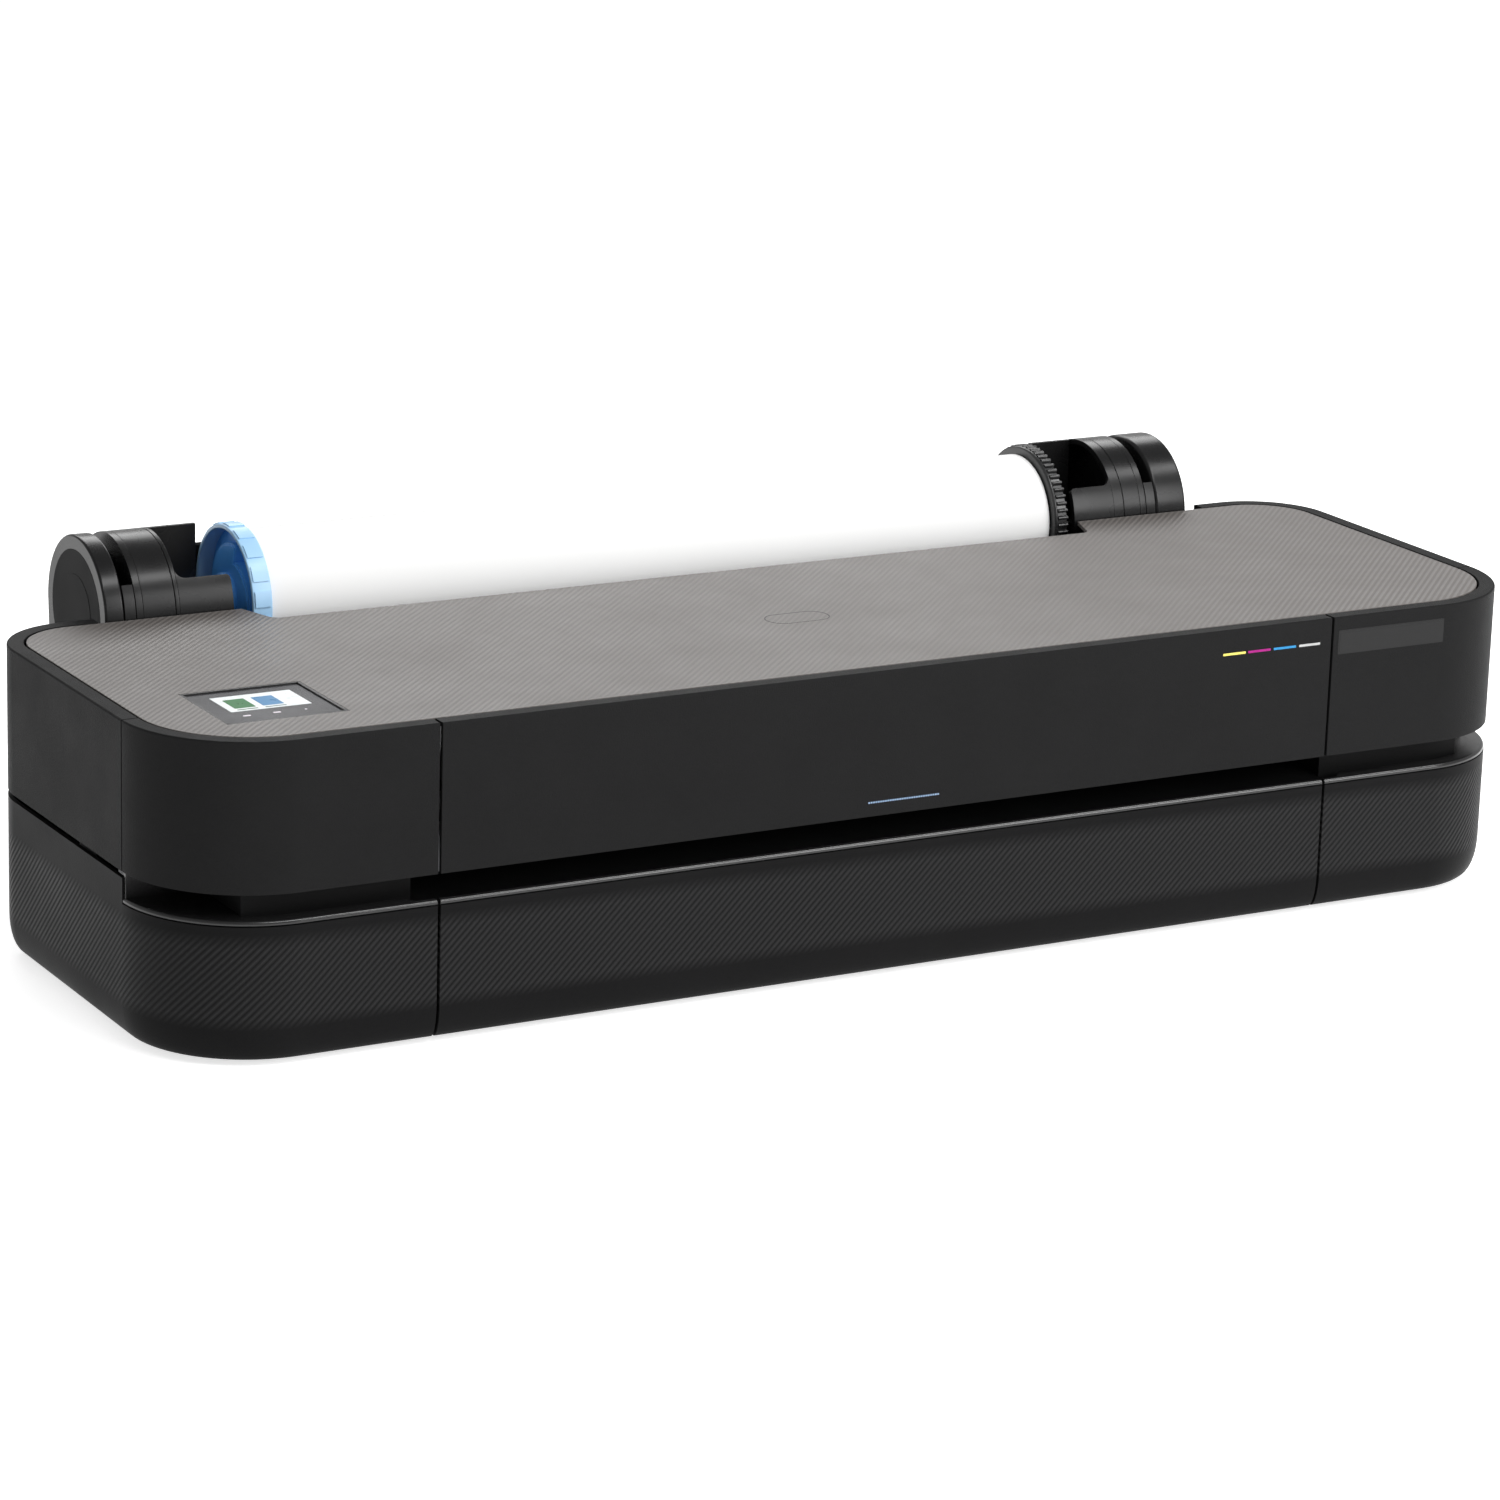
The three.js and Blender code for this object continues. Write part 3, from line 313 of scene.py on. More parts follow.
def moulded(
    name, dark, light, roughness, grain=0.6 * MM, depth=0.02 * MM, patch=40 * MM, metallic=0.0, shine=0.5,
):
    """Moulded or rolled surface with a fine grain in its relief."""
    finish, nodes, links, skin, place, _ = base_finish(name, dark, light, roughness, patch, metallic, shine)
    specks = nodes.new("ShaderNodeTexNoise")
    specks.inputs["Scale"].default_value = 1 / grain
    specks.inputs["Detail"].default_value = 3
    links.new(place.outputs["Object"], specks.inputs["Vector"])
    relief = nodes.new("ShaderNodeBump")
    relief.inputs["Strength"].default_value = 0.6
    relief.inputs["Distance"].default_value = depth
    links.new(specks.outputs["Fac"], relief.inputs["Height"])
    links.new(relief.outputs["Normal"], skin.inputs["Normal"])
    return finish


charcoal = moulded(
    "charcoal_moulding", (0.0100, 0.0100, 0.0102), (0.0130, 0.0130, 0.0132), 0.5,
    grain=0.9 * MM, depth=0.5 * MM, shine=0.035,
)

rim = [(inset, top - drop) for inset, drop in quarter_round(RIM_ROUND)]
UPPER_SECTION = [
    (0, skirt), *rim, (RIM_WIDTH - RIM_BREAK, top), (RIM_WIDTH, top - RIM_BREAK),
    (RIM_WIDTH, top - WALL), (WALL, top - WALL), (WALL, skirt),
]
COVER_EDGE = 0.3 * MM
CUT_GAP = 0.6 * MM  # half of the joint at the side seams


def upper_cover(name, body, sign, corner):
    """One side's corner, or the side panel behind it."""
    bm = body_ring(UPPER_SECTION)
    if corner:
        cut_away(bm, (0, SIDE_SEAM - CUT_GAP, 0), (0, 1, 0))
        cut_away(bm, (sign * seam_outer, 0, 0), (-sign, 0, 0))
    else:
        cut_away(bm, (0, SIDE_SEAM + CUT_GAP, 0), (0, -1, 0))
        cut_away(bm, (sign * HOLDER_BAY, 0, 0), (-sign, 0, 0))
    make_piece(f"{name}_skin", bm, charcoal, body, [name], soften=COVER_EDGE)


upper_cover("left_corner_cover", "frame", -1, True)
upper_cover("ink_door", "ink_door", 1, True)
upper_cover("left_side_panel", "frame", -1, False)
upper_cover("right_side_panel", "frame", 1, False)

door_bm = body_ring(UPPER_SECTION)
cut_away(door_bm, (0, SIDE_SEAM, 0), (0, 1, 0))
for side in (-1, 1):
    cut_away(door_bm, (side * seam_inner, 0, 0), (side, 0, 0))
make_piece(
    "front_door_skin", door_bm, charcoal, "front_door", ["front_door"], soften=COVER_EDGE,
)

# ---- lid ----
# The fixed flat lid, moulded in a warm grey with a fine diagonal stripe in its skin.
# It lies a hair below the rim with a dark joint all round, and is notched at the rear for the roll.

lid_low, lid_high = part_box("top_cover")
GROOVE = 1.5 * MM
STRIPE_PITCH = 3.93 * MM
NOTCH_FRONT = front + 272.5 * MM
NOTCH_LEFT = -320 * MM
NOTCH_RIGHT = 311 * MM
NOTCH_SPREAD_LEFT = 16.5 / 51.9  # sideways run of the notch's ends for each unit of depth
NOTCH_SPREAD_RIGHT = 17.5 / 51.9
NOTCH_ROUND = 5 * MM
panel_low, panel_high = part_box("panel_bezel")


def stripe_value(nodes, links, vector, across, pitch):
    """A value that rises and falls once each pitch along the direction across."""
    run = nodes.new("ShaderNodeVectorMath")
    run.operation = "DOT_PRODUCT"
    run.inputs[1].default_value = Vector(across).normalized() / pitch * 2
    links.new(vector, run.inputs[0])
    wave = nodes.new("ShaderNodeMath")
    wave.operation = "PINGPONG"
    wave.inputs[1].default_value = 1.0
    links.new(run.outputs["Value"], wave.inputs[0])
    return wave.outputs["Value"]


def striped(
    name, dark, light, line, roughness, across, pitch, depth, strength, shine=0.3, unrolled=False, band=None,
):
    """Plastic with parallel lines in its colour and relief; band fades them in and out by height."""
    finish, nodes, links, skin, place, tones = base_finish(name, dark, light, roughness, 60 * MM, shine=shine)
    vector = place.outputs["UV" if unrolled else "Object"]
    wave = stripe_value(nodes, links, vector, across, pitch)
    if band:
        heights = nodes.new("ShaderNodeSeparateXYZ")
        links.new(vector, heights.inputs["Vector"])
        for start, end in band:
            fade = nodes.new("ShaderNodeMapRange")
            fade.inputs["From Min"].default_value = start
            fade.inputs["From Max"].default_value = end
            links.new(heights.outputs["Y"], fade.inputs["Value"])
            masked = nodes.new("ShaderNodeMath")
            masked.operation = "MULTIPLY"
            links.new(wave, masked.inputs[0])
            links.new(fade.outputs["Result"], masked.inputs[1])
            wave = masked.outputs["Value"]
    weight = nodes.new("ShaderNodeMath")
    weight.operation = "MULTIPLY"
    weight.inputs[1].default_value = strength
    links.new(wave, weight.inputs[0])
    lines = nodes.new("ShaderNodeMix")
    lines.data_type = "RGBA"
    lines.inputs[7].default_value = (*line, 1)
    links.new(weight.outputs["Value"], lines.inputs[0])
    links.new(tones.outputs[2], lines.inputs[6])
    links.new(lines.outputs[2], skin.inputs["Base Color"])
    specks = nodes.new("ShaderNodeTexNoise")
    specks.inputs["Scale"].default_value = 1 / (0.9 * MM)
    links.new(place.outputs["Object"], specks.inputs["Vector"])
    height = nodes.new("ShaderNodeMath")
    height.operation = "MULTIPLY_ADD"
    height.inputs[1].default_value = 0.15
    links.new(specks.outputs["Fac"], height.inputs[0])
    links.new(wave, height.inputs[2])
    relief = nodes.new("ShaderNodeBump")
    relief.inputs["Strength"].default_value = 0.7
    relief.inputs["Distance"].default_value = depth
    links.new(height.outputs["Value"], relief.inputs["Height"])
    links.new(relief.outputs["Normal"], skin.inputs["Normal"])
    return finish


taupe = striped(
    "taupe_lid", (0.098, 0.089, 0.083), (0.112, 0.102, 0.096), (0.165, 0.152, 0.143), 0.48,
    (1, -1, 0), STRIPE_PITCH, 0.5 * MM, 0.5,
)

lid_bm = bmesh.new()
lid_edges = body_edges(lid_bm, RIM_WIDTH + GROOVE, lid_high.z)
bmesh.ops.contextual_create(lid_bm, geom=lid_edges)
window(lid_bm, (None, lid_high.y, None), (None, None, None))
window(lid_bm, (panel_low.x, panel_low.y, None), (panel_high.x, panel_high.y, None))
notch_sides = (
    ((NOTCH_LEFT, NOTCH_FRONT, 0), Vector((-1, -NOTCH_SPREAD_LEFT, 0)).normalized()),
    ((NOTCH_RIGHT, NOTCH_FRONT, 0), Vector((1, -NOTCH_SPREAD_RIGHT, 0)).normalized()),
    ((0, NOTCH_FRONT, 0), Vector((0, -1, 0))),
)
for point, normal in notch_sides:
    score(lid_bm, point, normal)
notched = [
    f for f in lid_bm.faces
    if all((f.calc_center_median() - Vector(point)).dot(normal) < 0 for point, normal in notch_sides)
]
bmesh.ops.delete(lid_bm, geom=notched, context="FACES")
bmesh.ops.dissolve_limit(lid_bm, angle_limit=math.radians(1), verts=lid_bm.verts[:], edges=lid_bm.edges[:])
drawn = bmesh.ops.extrude_face_region(lid_bm, geom=lid_bm.faces[:])["geom"]
lid_under = [g for g in drawn if isinstance(g, bmesh.types.BMVert)]
bmesh.ops.translate(lid_bm, vec=(0, 0, lid_low.z - lid_high.z), verts=lid_under)
bmesh.ops.recalc_face_normals(lid_bm, faces=lid_bm.faces[:])
notch_points = [Vector((x, NOTCH_FRONT)) for x in (NOTCH_LEFT, NOTCH_RIGHT)]
notch_corners = [
    e for e in lid_bm.edges
    if abs(e.verts[0].co.z - e.verts[1].co.z) > 1 * MM
    and min((e.verts[0].co.xy - point).length for point in notch_points) < 0.1 * MM
]
bmesh.ops.bevel(
    lid_bm, geom=notch_corners, offset=NOTCH_ROUND, offset_type="OFFSET", segments=8, profile=0.5,
    affect="EDGES", material=-1, clamp_overlap=False,
)
make_piece("top_cover_skin", lid_bm, taupe, "frame", ["top_cover"], soften=0.4 * MM)

# ---- touch panel ----
# A black moulded tray snapped into the lid, with a sheet of dark glass sunk in it.
# The display's field and tiles and three touch marks are thin layers on the glass.

TRAY_RIM = 2.0 * MM
TRAY_SINK = 1.5 * MM
TRAY_BREAK = 0.3 * MM
GLASS_BED = 0.1 * MM  # the glass starts this far above the tray's floor
GLASS_FACE = 0.6 * MM  # and its face lies this far above it
GLASS_GAP = 0.5 * MM
TRAY_CORNER = 1.5 * MM


def tablet(bm, low, high, radius, steps=6):
    """A flat plate with rounded corners in plan; returns its upper face."""
    corners = bmesh.ops.create_grid(bm, x_segments=1, y_segments=1, size=0.5)["verts"]
    face = corners[0].link_faces[0]
    centre = (Vector(low) + Vector(high)) / 2
    bmesh.ops.scale(bm, vec=(high[0] - low[0], high[1] - low[1], 1), verts=corners)
    bmesh.ops.translate(bm, vec=(centre.x, centre.y, low[2]), verts=corners)
    known = set(bm.faces) - {face}
    bmesh.ops.bevel(
        bm, geom=corners, offset=radius, offset_type="OFFSET", segments=steps, profile=0.5,
        affect="VERTICES", material=-1, clamp_overlap=False,
    )
    face = next(f for f in bm.faces if f not in known)
    raised = bmesh.ops.extrude_face_region(bm, geom=[face])["geom"]
    upper = next(g for g in raised if isinstance(g, bmesh.types.BMFace))
    bmesh.ops.translate(bm, vec=(0, 0, high[2] - low[2]), verts=upper.verts[:])
    return upper


black_gloss = moulded(
    "black_gloss", (0.006, 0.006, 0.0062), (0.009, 0.009, 0.0092), 0.22,
    grain=2 * MM, depth=0.004 * MM, shine=0.3,
)
shadow_black = moulded(
    "shadow_black", (0.003, 0.003, 0.0031), (0.005, 0.005, 0.0052), 0.6, grain=1.2 * MM, shine=0.12,
)
panel_dark = moulded(
    "panel_glass", (0.030, 0.030, 0.035), (0.036, 0.036, 0.041), 0.2,
    grain=5 * MM, depth=0.001 * MM, shine=0.2,
)

tray_bm = bmesh.new()
tray_top = tablet(tray_bm, panel_low, panel_high, TRAY_CORNER)
bmesh.ops.inset_region(tray_bm, faces=[tray_top], thickness=TRAY_RIM, use_even_offset=True)
bmesh.ops.inset_region(tray_bm, faces=[tray_top], thickness=TRAY_BREAK, use_even_offset=True)
bmesh.ops.translate(tray_bm, vec=(0, 0, -TRAY_SINK), verts=tray_top.verts[:])
make_piece("panel_bezel_tray", tray_bm, black_gloss, "frame", ["panel_bezel"])

glass_top = panel_high.z - TRAY_SINK + GLASS_FACE
glass_inset = Vector((TRAY_RIM + GLASS_GAP, TRAY_RIM + GLASS_GAP, 0))
glass_bm = bmesh.new()
glass_from = panel_low + glass_inset
glass_to = panel_high - glass_inset
tablet(
    glass_bm, (glass_from.x, glass_from.y, panel_high.z - TRAY_SINK + GLASS_BED),
    (glass_to.x, glass_to.y, glass_top), TRAY_CORNER,
)
bmesh.ops.recalc_face_normals(glass_bm, faces=glass_bm.faces[:])
make_piece(
    "panel_glass_sheet", glass_bm, panel_dark, "frame", ["panel_glass"], soften=0.15 * MM,
)


def lit(name, dark, light, glow):
    """A printed or lit surface in two close tones, glowing by glow; where it is only print, the glow is
    painted light.
    """
    finish, _, links, skin, _, tones = base_finish(name, dark, light, 0.3, 8 * MM, shine=0.1)
    links.new(tones.outputs[2], skin.inputs["Emission Color"])
    skin.inputs["Emission Strength"].default_value = glow
    return finish


DISPLAY = {
    # name: (x, y, width, depth in mm from the tray's corner, layer, colours dark and light, glow)
    "display_field": (14.7, 27.7, 54, 34, 0, (0.62, 0.66, 0.66), (0.72, 0.75, 0.75), 0.2),
    "display_tile_left": (20, 34, 14, 20, 1, (0.001, 0.10, 0.012), (0.006, 0.16, 0.03), 0.1),
    "display_tile_middle": (39, 34, 14, 20, 1, (0.03, 0.16, 0.34), (0.06, 0.23, 0.44), 0.1),
    "display_line_left": (20, 30, 14, 1.4, 1, (0.10, 0.16, 0.12), (0.14, 0.2, 0.16), 0.05),
    "display_line_middle": (39, 30, 14, 1.4, 1, (0.10, 0.16, 0.18), (0.14, 0.2, 0.22), 0.05),
    "touch_mark_left": (18, 16, 5, 2.2, 0, (0.6, 0.55, 0.6), (0.7, 0.65, 0.7), 0.2),
    "touch_mark_middle": (38, 16, 5, 2.2, 0, (0.6, 0.55, 0.6), (0.7, 0.65, 0.7), 0.2),
    "touch_mark_right": (59, 16, 1.6, 1.6, 0, (0.6, 0.55, 0.6), (0.7, 0.65, 0.7), 0.2),
}
SHEET = 0.12 * MM  # thickness of one printed layer
for name, (x, y, wide, deep, layer, dark, light, glow) in DISPLAY.items():
    low = Vector((panel_low.x + x * MM, panel_low.y + y * MM, glass_top + layer * SHEET))
    high = low + Vector((wide * MM, deep * MM, SHEET))
    print_bm = bmesh.new()
    tablet(print_bm, low, high, min(0.6 * MM, deep * MM * 0.45), steps=3)
    make_piece(name, print_bm, lit(name, dark, light, glow))

# ---- badge ----
# A plain blank bar with rounded ends, stamped and let into the lid where a maker would put a name.
# Its raised rim shows as a fine line, and its face lies just under the lid's skin.

BADGE_CENTRE = Vector((-2 * MM, front + 141 * MM))
BADGE_SIZE = (46 * MM, 24 * MM)
BADGE_ROOT = 0.5 * MM
BADGE_PROUD = 0.1 * MM
BADGE_RIM = 1.2 * MM
BADGE_DISH = 0.15 * MM
badge_metal = moulded(
    "badge_metal", (0.014, 0.014, 0.0145), (0.020, 0.020, 0.0205), 0.4,
    grain=4 * MM, patch=12 * MM, shine=0.08,
)
badge_bm = bmesh.new()
badge_x, badge_y = BADGE_CENTRE
badge_long, badge_deep = BADGE_SIZE
badge_low = (badge_x - badge_long / 2, badge_y - badge_deep / 2, lid_high.z - BADGE_ROOT)
badge_high = (badge_x + badge_long / 2, badge_y + badge_deep / 2, lid_high.z + BADGE_PROUD)
badge_top = tablet(badge_bm, badge_low, badge_high, badge_deep / 2 - 0.5 * MM, steps=16)
bmesh.ops.inset_region(badge_bm, faces=[badge_top], thickness=BADGE_RIM, use_even_offset=True)
bmesh.ops.translate(badge_bm, vec=(0, 0, -BADGE_DISH), verts=badge_top.verts[:])
make_piece("blank_badge", badge_bm, badge_metal)

# ---- marks on the front ----
# Four short printed bars for the inks with a faint painted glow, a row of light dots over the outlet,
# and a blank label plate stuck in a shallow frame on the ink door.

PRINT = 0.12 * MM
BAR_HALF = 0.8 * MM
bar_z = base + 187.2 * MM
INK_BARS = {
    # name: (from x, to x in mm, colours dark and light, slot)
    "ink_bar_yellow": (243, 261, (0.62, 0.52, 0.10), (0.72, 0.62, 0.16), "ink_yellow"),
    "ink_bar_magenta": (263, 281, (0.26, 0.01, 0.14), (0.34, 0.02, 0.2), "ink_magenta"),
    "ink_bar_cyan": (283.5, 301.5, (0.02, 0.17, 0.38), (0.04, 0.25, 0.5), "ink_cyan"),
    "ink_bar_grey": (304, 321, (0.36, 0.36, 0.36), (0.44, 0.44, 0.44), "ink_black"),
}


def front_print(bm, x0, x1, z0, z1, radius, proud=PRINT):
    """A thin rounded plate that stands on the front face."""
    verts_before = set(bm.verts)
    tablet(bm, (x0, -z1, 0), (x1, -z0, proud), radius, steps=3)
    new = [v for v in bm.verts if v not in verts_before]
    turn = Matrix.Rotation(math.pi / 2, 4, "X")
    bmesh.ops.transform(bm, matrix=turn, verts=new)
    low_z = min(v.co.z for v in new)
    bmesh.ops.translate(bm, vec=(0, front, z0 - low_z), verts=new)


for name, (x0, x1, dark, light, slot) in INK_BARS.items():
    ink_bm = bmesh.new()
    front_print(ink_bm, x0 * MM, x1 * MM, bar_z - BAR_HALF, bar_z + BAR_HALF, BAR_HALF / 2)
    # the bars are print, so their glow of 0.02 is painted light, not a lamp
    make_piece(name, ink_bm, lit(name, dark, light, 0.02), "front_door")

DOTS = 30
DOT_PITCH = 1.78 * MM
DOT_HALF = 0.45 * MM
DOT_LOW = base + 116.4 * MM
DOT_HIGH = base + 117.5 * MM
dot_bm = bmesh.new()
for i in range(DOTS):
    x = (i - (DOTS - 1) / 2) * DOT_PITCH
    front_print(dot_bm, x - DOT_HALF, x + DOT_HALF, DOT_LOW, DOT_HIGH, 0.2 * MM)
light_dots = lit("light_dots", (0.22, 0.33, 0.5), (0.34, 0.46, 0.65), 0.25)
make_piece("light_bar", dot_bm, light_dots, "front_door")

label_bm = bmesh.new()
front_print(label_bm, 336 * MM, 423 * MM, base + 178 * MM, base + 194.5 * MM, 0.8 * MM, 0.1 * MM)
front_print(label_bm, 337.2 * MM, 421.8 * MM, base + 179.2 * MM, base + 193.3 * MM, 0.6 * MM, 0.22 * MM)
label_finish = moulded(
    "label_plate", (0.0085, 0.0085, 0.0087), (0.010, 0.010, 0.0102), 0.36,
    grain=2 * MM, depth=0.02 * MM, shine=0.2,
)
make_piece("label_plate", label_bm, label_finish, "ink_door")

# ---- lower covers ----
# The charcoal skirt below the outlet in three mouldings, drawn in at the foot, with a fine diagonal rib
# that runs round the corners. It fades to a smooth band along the top edge and the foot.

FOOT_INSET = 8.5 * MM
FOOT_RISE = 24 * MM
FOOT_STEPS = 8
side_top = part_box("lower_cover_left")[1].z
front_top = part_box("lower_cover_front")[1].z
RIB_PITCH = 3.5 * MM
HOUSING_GAP = 441 * MM  # half width of the opening at the rear for the housing
SLOPE_POINT = (0, front + 282 * MM, base)
SLOPE_RUN = (34, 42)  # the rear wall slopes forward this far over this height at the foot

ribbed = striped(
    "ribbed_charcoal", (0.0060, 0.0060, 0.0062), (0.0085, 0.0085, 0.0087), (0.026, 0.026, 0.0265), 0.42,
    (1, -1, 0), RIB_PITCH, 0.8 * MM, 0.9, shine=0.035, unrolled=True,
    band=((base + 21 * MM, base + 29 * MM), (front_top - 5 * MM, front_top - 14 * MM)),
)

skirt_foot = [
    (FOOT_INSET * (1 - math.sin(a)), base + FOOT_RISE * (1 - math.cos(a)))
    for a in (math.pi / 2 * i / FOOT_STEPS for i in range(FOOT_STEPS + 1))
]
LOWER_SECTION = [
    *skirt_foot, (0, side_top), (WALL, side_top), (WALL, base + FOOT_RISE),
    (FOOT_INSET + WALL, base + WALL), (FOOT_INSET + WALL, base),
]


def along_body(x, y):
    """Distance round the body from the middle of the front, negative towards the left."""
    straight = half - FRONT_CORNER
    side = -1 if x < 0 else 1
    reach = abs(x) - straight
    depth = front + FRONT_CORNER - y
    if reach <= 0 and depth > 0:
        return x
    if depth > 0:
        return side * (straight + FRONT_CORNER * math.atan2(reach, depth))
    return side * (straight + FRONT_CORNER * math.pi / 2 - depth)


def unroll(bm):
    """Lays the walls out flat in the piece's own map, in metres."""
    layer = bm.loops.layers.uv.new("unrolled")
    for face in bm.faces:
        for corner in face.loops:
            corner[layer].uv = (along_body(corner.vert.co.x, corner.vert.co.y), corner.vert.co.z)


def skirt_ring():
    """The whole skirt, lower in front of the side seams than behind them."""
    bm = body_ring(LOWER_SECTION)
    open_edges = window(bm, (None, None, front_top), (None, SIDE_SEAM - CUT_GAP, None))
    level = [e for e in open_edges if max(abs(v.co.z - front_top) for v in e.verts) < 1e-5]
    bmesh.ops.bridge_loops(bm, edges=level)
    bmesh.ops.holes_fill(bm, edges=[e for e in bm.edges if len(e.link_faces) == 1], sides=0)
    return bm


def lower_cover(name, bm):
    """A stretch of the skirt with its ribs laid along it."""
    unroll(bm)
    make_piece(f"{name}_skin", bm, ribbed, "frame", [name], soften=COVER_EDGE)


for sign, name in ((-1, "lower_cover_left"), (1, "lower_cover_right")):
    side_bm = skirt_ring()
    cut_away(side_bm, (sign * seam_outer, 0, 0), (-sign, 0, 0), lambda c: c.y < middle_y)
    cut_away(side_bm, (sign * HOUSING_GAP, 0, 0), (-sign, 0, 0), lambda c: c.y > middle_y)
    slope = Vector((0, SLOPE_RUN[1], -SLOPE_RUN[0])).normalized()
    cut_away(side_bm, SLOPE_POINT, slope)
    lower_cover(name, side_bm)

middle_bm = skirt_ring()
cut_away(middle_bm, (0, SIDE_SEAM, 0), (0, 1, 0))
for side in (-1, 1):
    cut_away(middle_bm, (side * seam_inner, 0, 0), (side, 0, 0))
lower_cover("lower_cover_front", middle_bm)

# ---- lip under the paper outlet ----
# A glossy black strip in three lengths, clipped to the skirt's top edge. It is wide under the corner
# covers, narrows to a bead where the paper comes out, and ends at the left in a short upright wall.

lip_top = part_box("lip_front")[1].z
lip_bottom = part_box("lip_front")[0].z
LIP_INSET = 0.2 * MM
LIP_ROUND = 2.2 * MM
LIP_WIDE = 12.5 * MM
LIP_BEAD = 3.5 * MM
LIP_STEP = (352 * MM, 344 * MM)  # where it starts and stops narrowing

lip_gloss = moulded(
    "lip_gloss", (0.008, 0.008, 0.0082), (0.011, 0.011, 0.0112), 0.2,
    grain=3 * MM, depth=0.003 * MM, shine=0.5,
)
lip_round = [(LIP_INSET + inset, lip_top - drop) for inset, drop in quarter_round(LIP_ROUND, 6)]
LIP_SECTION = [(LIP_INSET, lip_bottom), *lip_round, (LIP_WIDE, lip_top), (LIP_WIDE, lip_bottom)]
SHELF_END = 455 * MM  # the lip widens to a shelf out beyond this at each end
END_WALL = 2.5 * MM  # the wall that closes the gap at the left end


def lip(name, low_x, high_x):
    """A length of the lip between two joints."""
    bm = body_ring(LIP_SECTION)
    cut_away(bm, (0, SIDE_SEAM - CUT_GAP, 0), (0, 1, 0))
    if low_x is not None:
        cut_away(bm, (low_x, 0, 0), (-1, 0, 0))
    if high_x is not None:
        cut_away(bm, (high_x, 0, 0), (1, 0, 0))
    for x in (-LIP_STEP[0], -LIP_STEP[1], LIP_STEP[1], LIP_STEP[0]):
        score(bm, (x, 0, 0), (1, 0, 0))
    for v in bm.verts:
        if abs(v.co.x) < LIP_STEP[1] + 0.1 * MM and v.co.y > front + LIP_WIDE - 0.1 * MM:
            v.co.y = front + LIP_BEAD
    side = 1 if high_x is None else -1
    if low_x is None or high_x is None:
        shelf = bmesh.new()
        shelf_edges = body_edges(shelf, LIP_WIDE - 0.2 * MM, lip_top - 0.05 * MM)
        bmesh.ops.contextual_create(shelf, geom=shelf_edges)
        drawn = bmesh.ops.extrude_face_region(shelf, geom=shelf.faces[:])["geom"]
        lower = [g for g in drawn if isinstance(g, bmesh.types.BMVert)]
        bmesh.ops.translate(shelf, vec=(0, 0, lip_bottom - lip_top + 0.1 * MM), verts=lower)
        cut_away(shelf, (side * SHELF_END, 0, 0), (-side, 0, 0))
        cut_away(shelf, (0, SIDE_SEAM - CUT_GAP, 0), (0, 1, 0))
        take_in(bm, shelf)
    if low_x is None:
        cover_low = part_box("left_corner_cover")[0]
        low = Vector((cover_low.x + 1.2 * MM, SIDE_SEAM - CUT_GAP - END_WALL, lip_top - 0.3 * MM))
        high = Vector((-SHELF_END, SIDE_SEAM - CUT_GAP, cover_low.z - 0.3 * MM))
        end = bmesh.ops.create_cube(bm, size=1.0)["verts"]
        bmesh.ops.scale(bm, vec=high - low, verts=end)
        bmesh.ops.translate(bm, vec=(low + high) / 2, verts=end)
    make_piece(f"{name}_moulding", bm, lip_gloss, "frame", [name], soften=0.2 * MM)


lip("lip_left", None, -seam_outer)
lip("lip_front", -seam_inner, seam_inner)
lip("lip_right", seam_outer, None)

# ---- roll holders ----
# Two glossy drums stand on the rear housing and carry the roll's axle ends. Each has a slot that the
# cover's arm swings in, and an open cradle on its inner side; they are moulded in bands with fine joints.

roll_y = (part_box("paper_roll")[0].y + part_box("paper_roll")[1].y) / 2
roll_z = (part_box("paper_roll")[0].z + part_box("paper_roll")[1].z) / 2
holder_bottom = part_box("roll_holder_left")[0].z
DRUM = 51 * MM
DRUM_WALL = 4 * MM
ARM_ROOM = 13.5 * MM
SLOT_FRONT = 59  # degrees from straight up, towards the front
SLOT_REAR = -94
NECK_REAR = front + 338 * MM
CRADLE_TOP = 58
CRADLE_FLOOR = base + 152 * MM
WEB_TOP = base + 247 * MM
WEB_Y = front + 370 * MM
FILLET = 7 * MM
JOINT = 0.35 * MM  # gap between the bands
BAND_EDGE = 0.3 * MM
TAIL = 36 * MM  # radius of the sweep at the rear of the end plate's foot
TAIL_IN = 4 * MM
BULKHEAD = 5 * MM
CRADLE_EDGE = 0.5 * MM
CRADLE_CORNER = 3 * MM
CRADLE_BENDS = 14
AXLE_SEAT = 8.6 * MM

holder_gloss = moulded(
    "holder_gloss", (0.006, 0.006, 0.0062), (0.009, 0.009, 0.0092), 0.27,
    grain=4 * MM, depth=0.002 * MM, shine=0.24,
)


def arc(radius, start, end, steps=24):
    """Points (y, z) on a circle about the roll's axis; degrees from straight up, + to the front."""
    angles = [math.radians(start + (end - start) * i / steps) for i in range(steps + 1)]
    return [(roll_y - radius * math.sin(a), roll_z + radius * math.cos(a)) for a in angles]


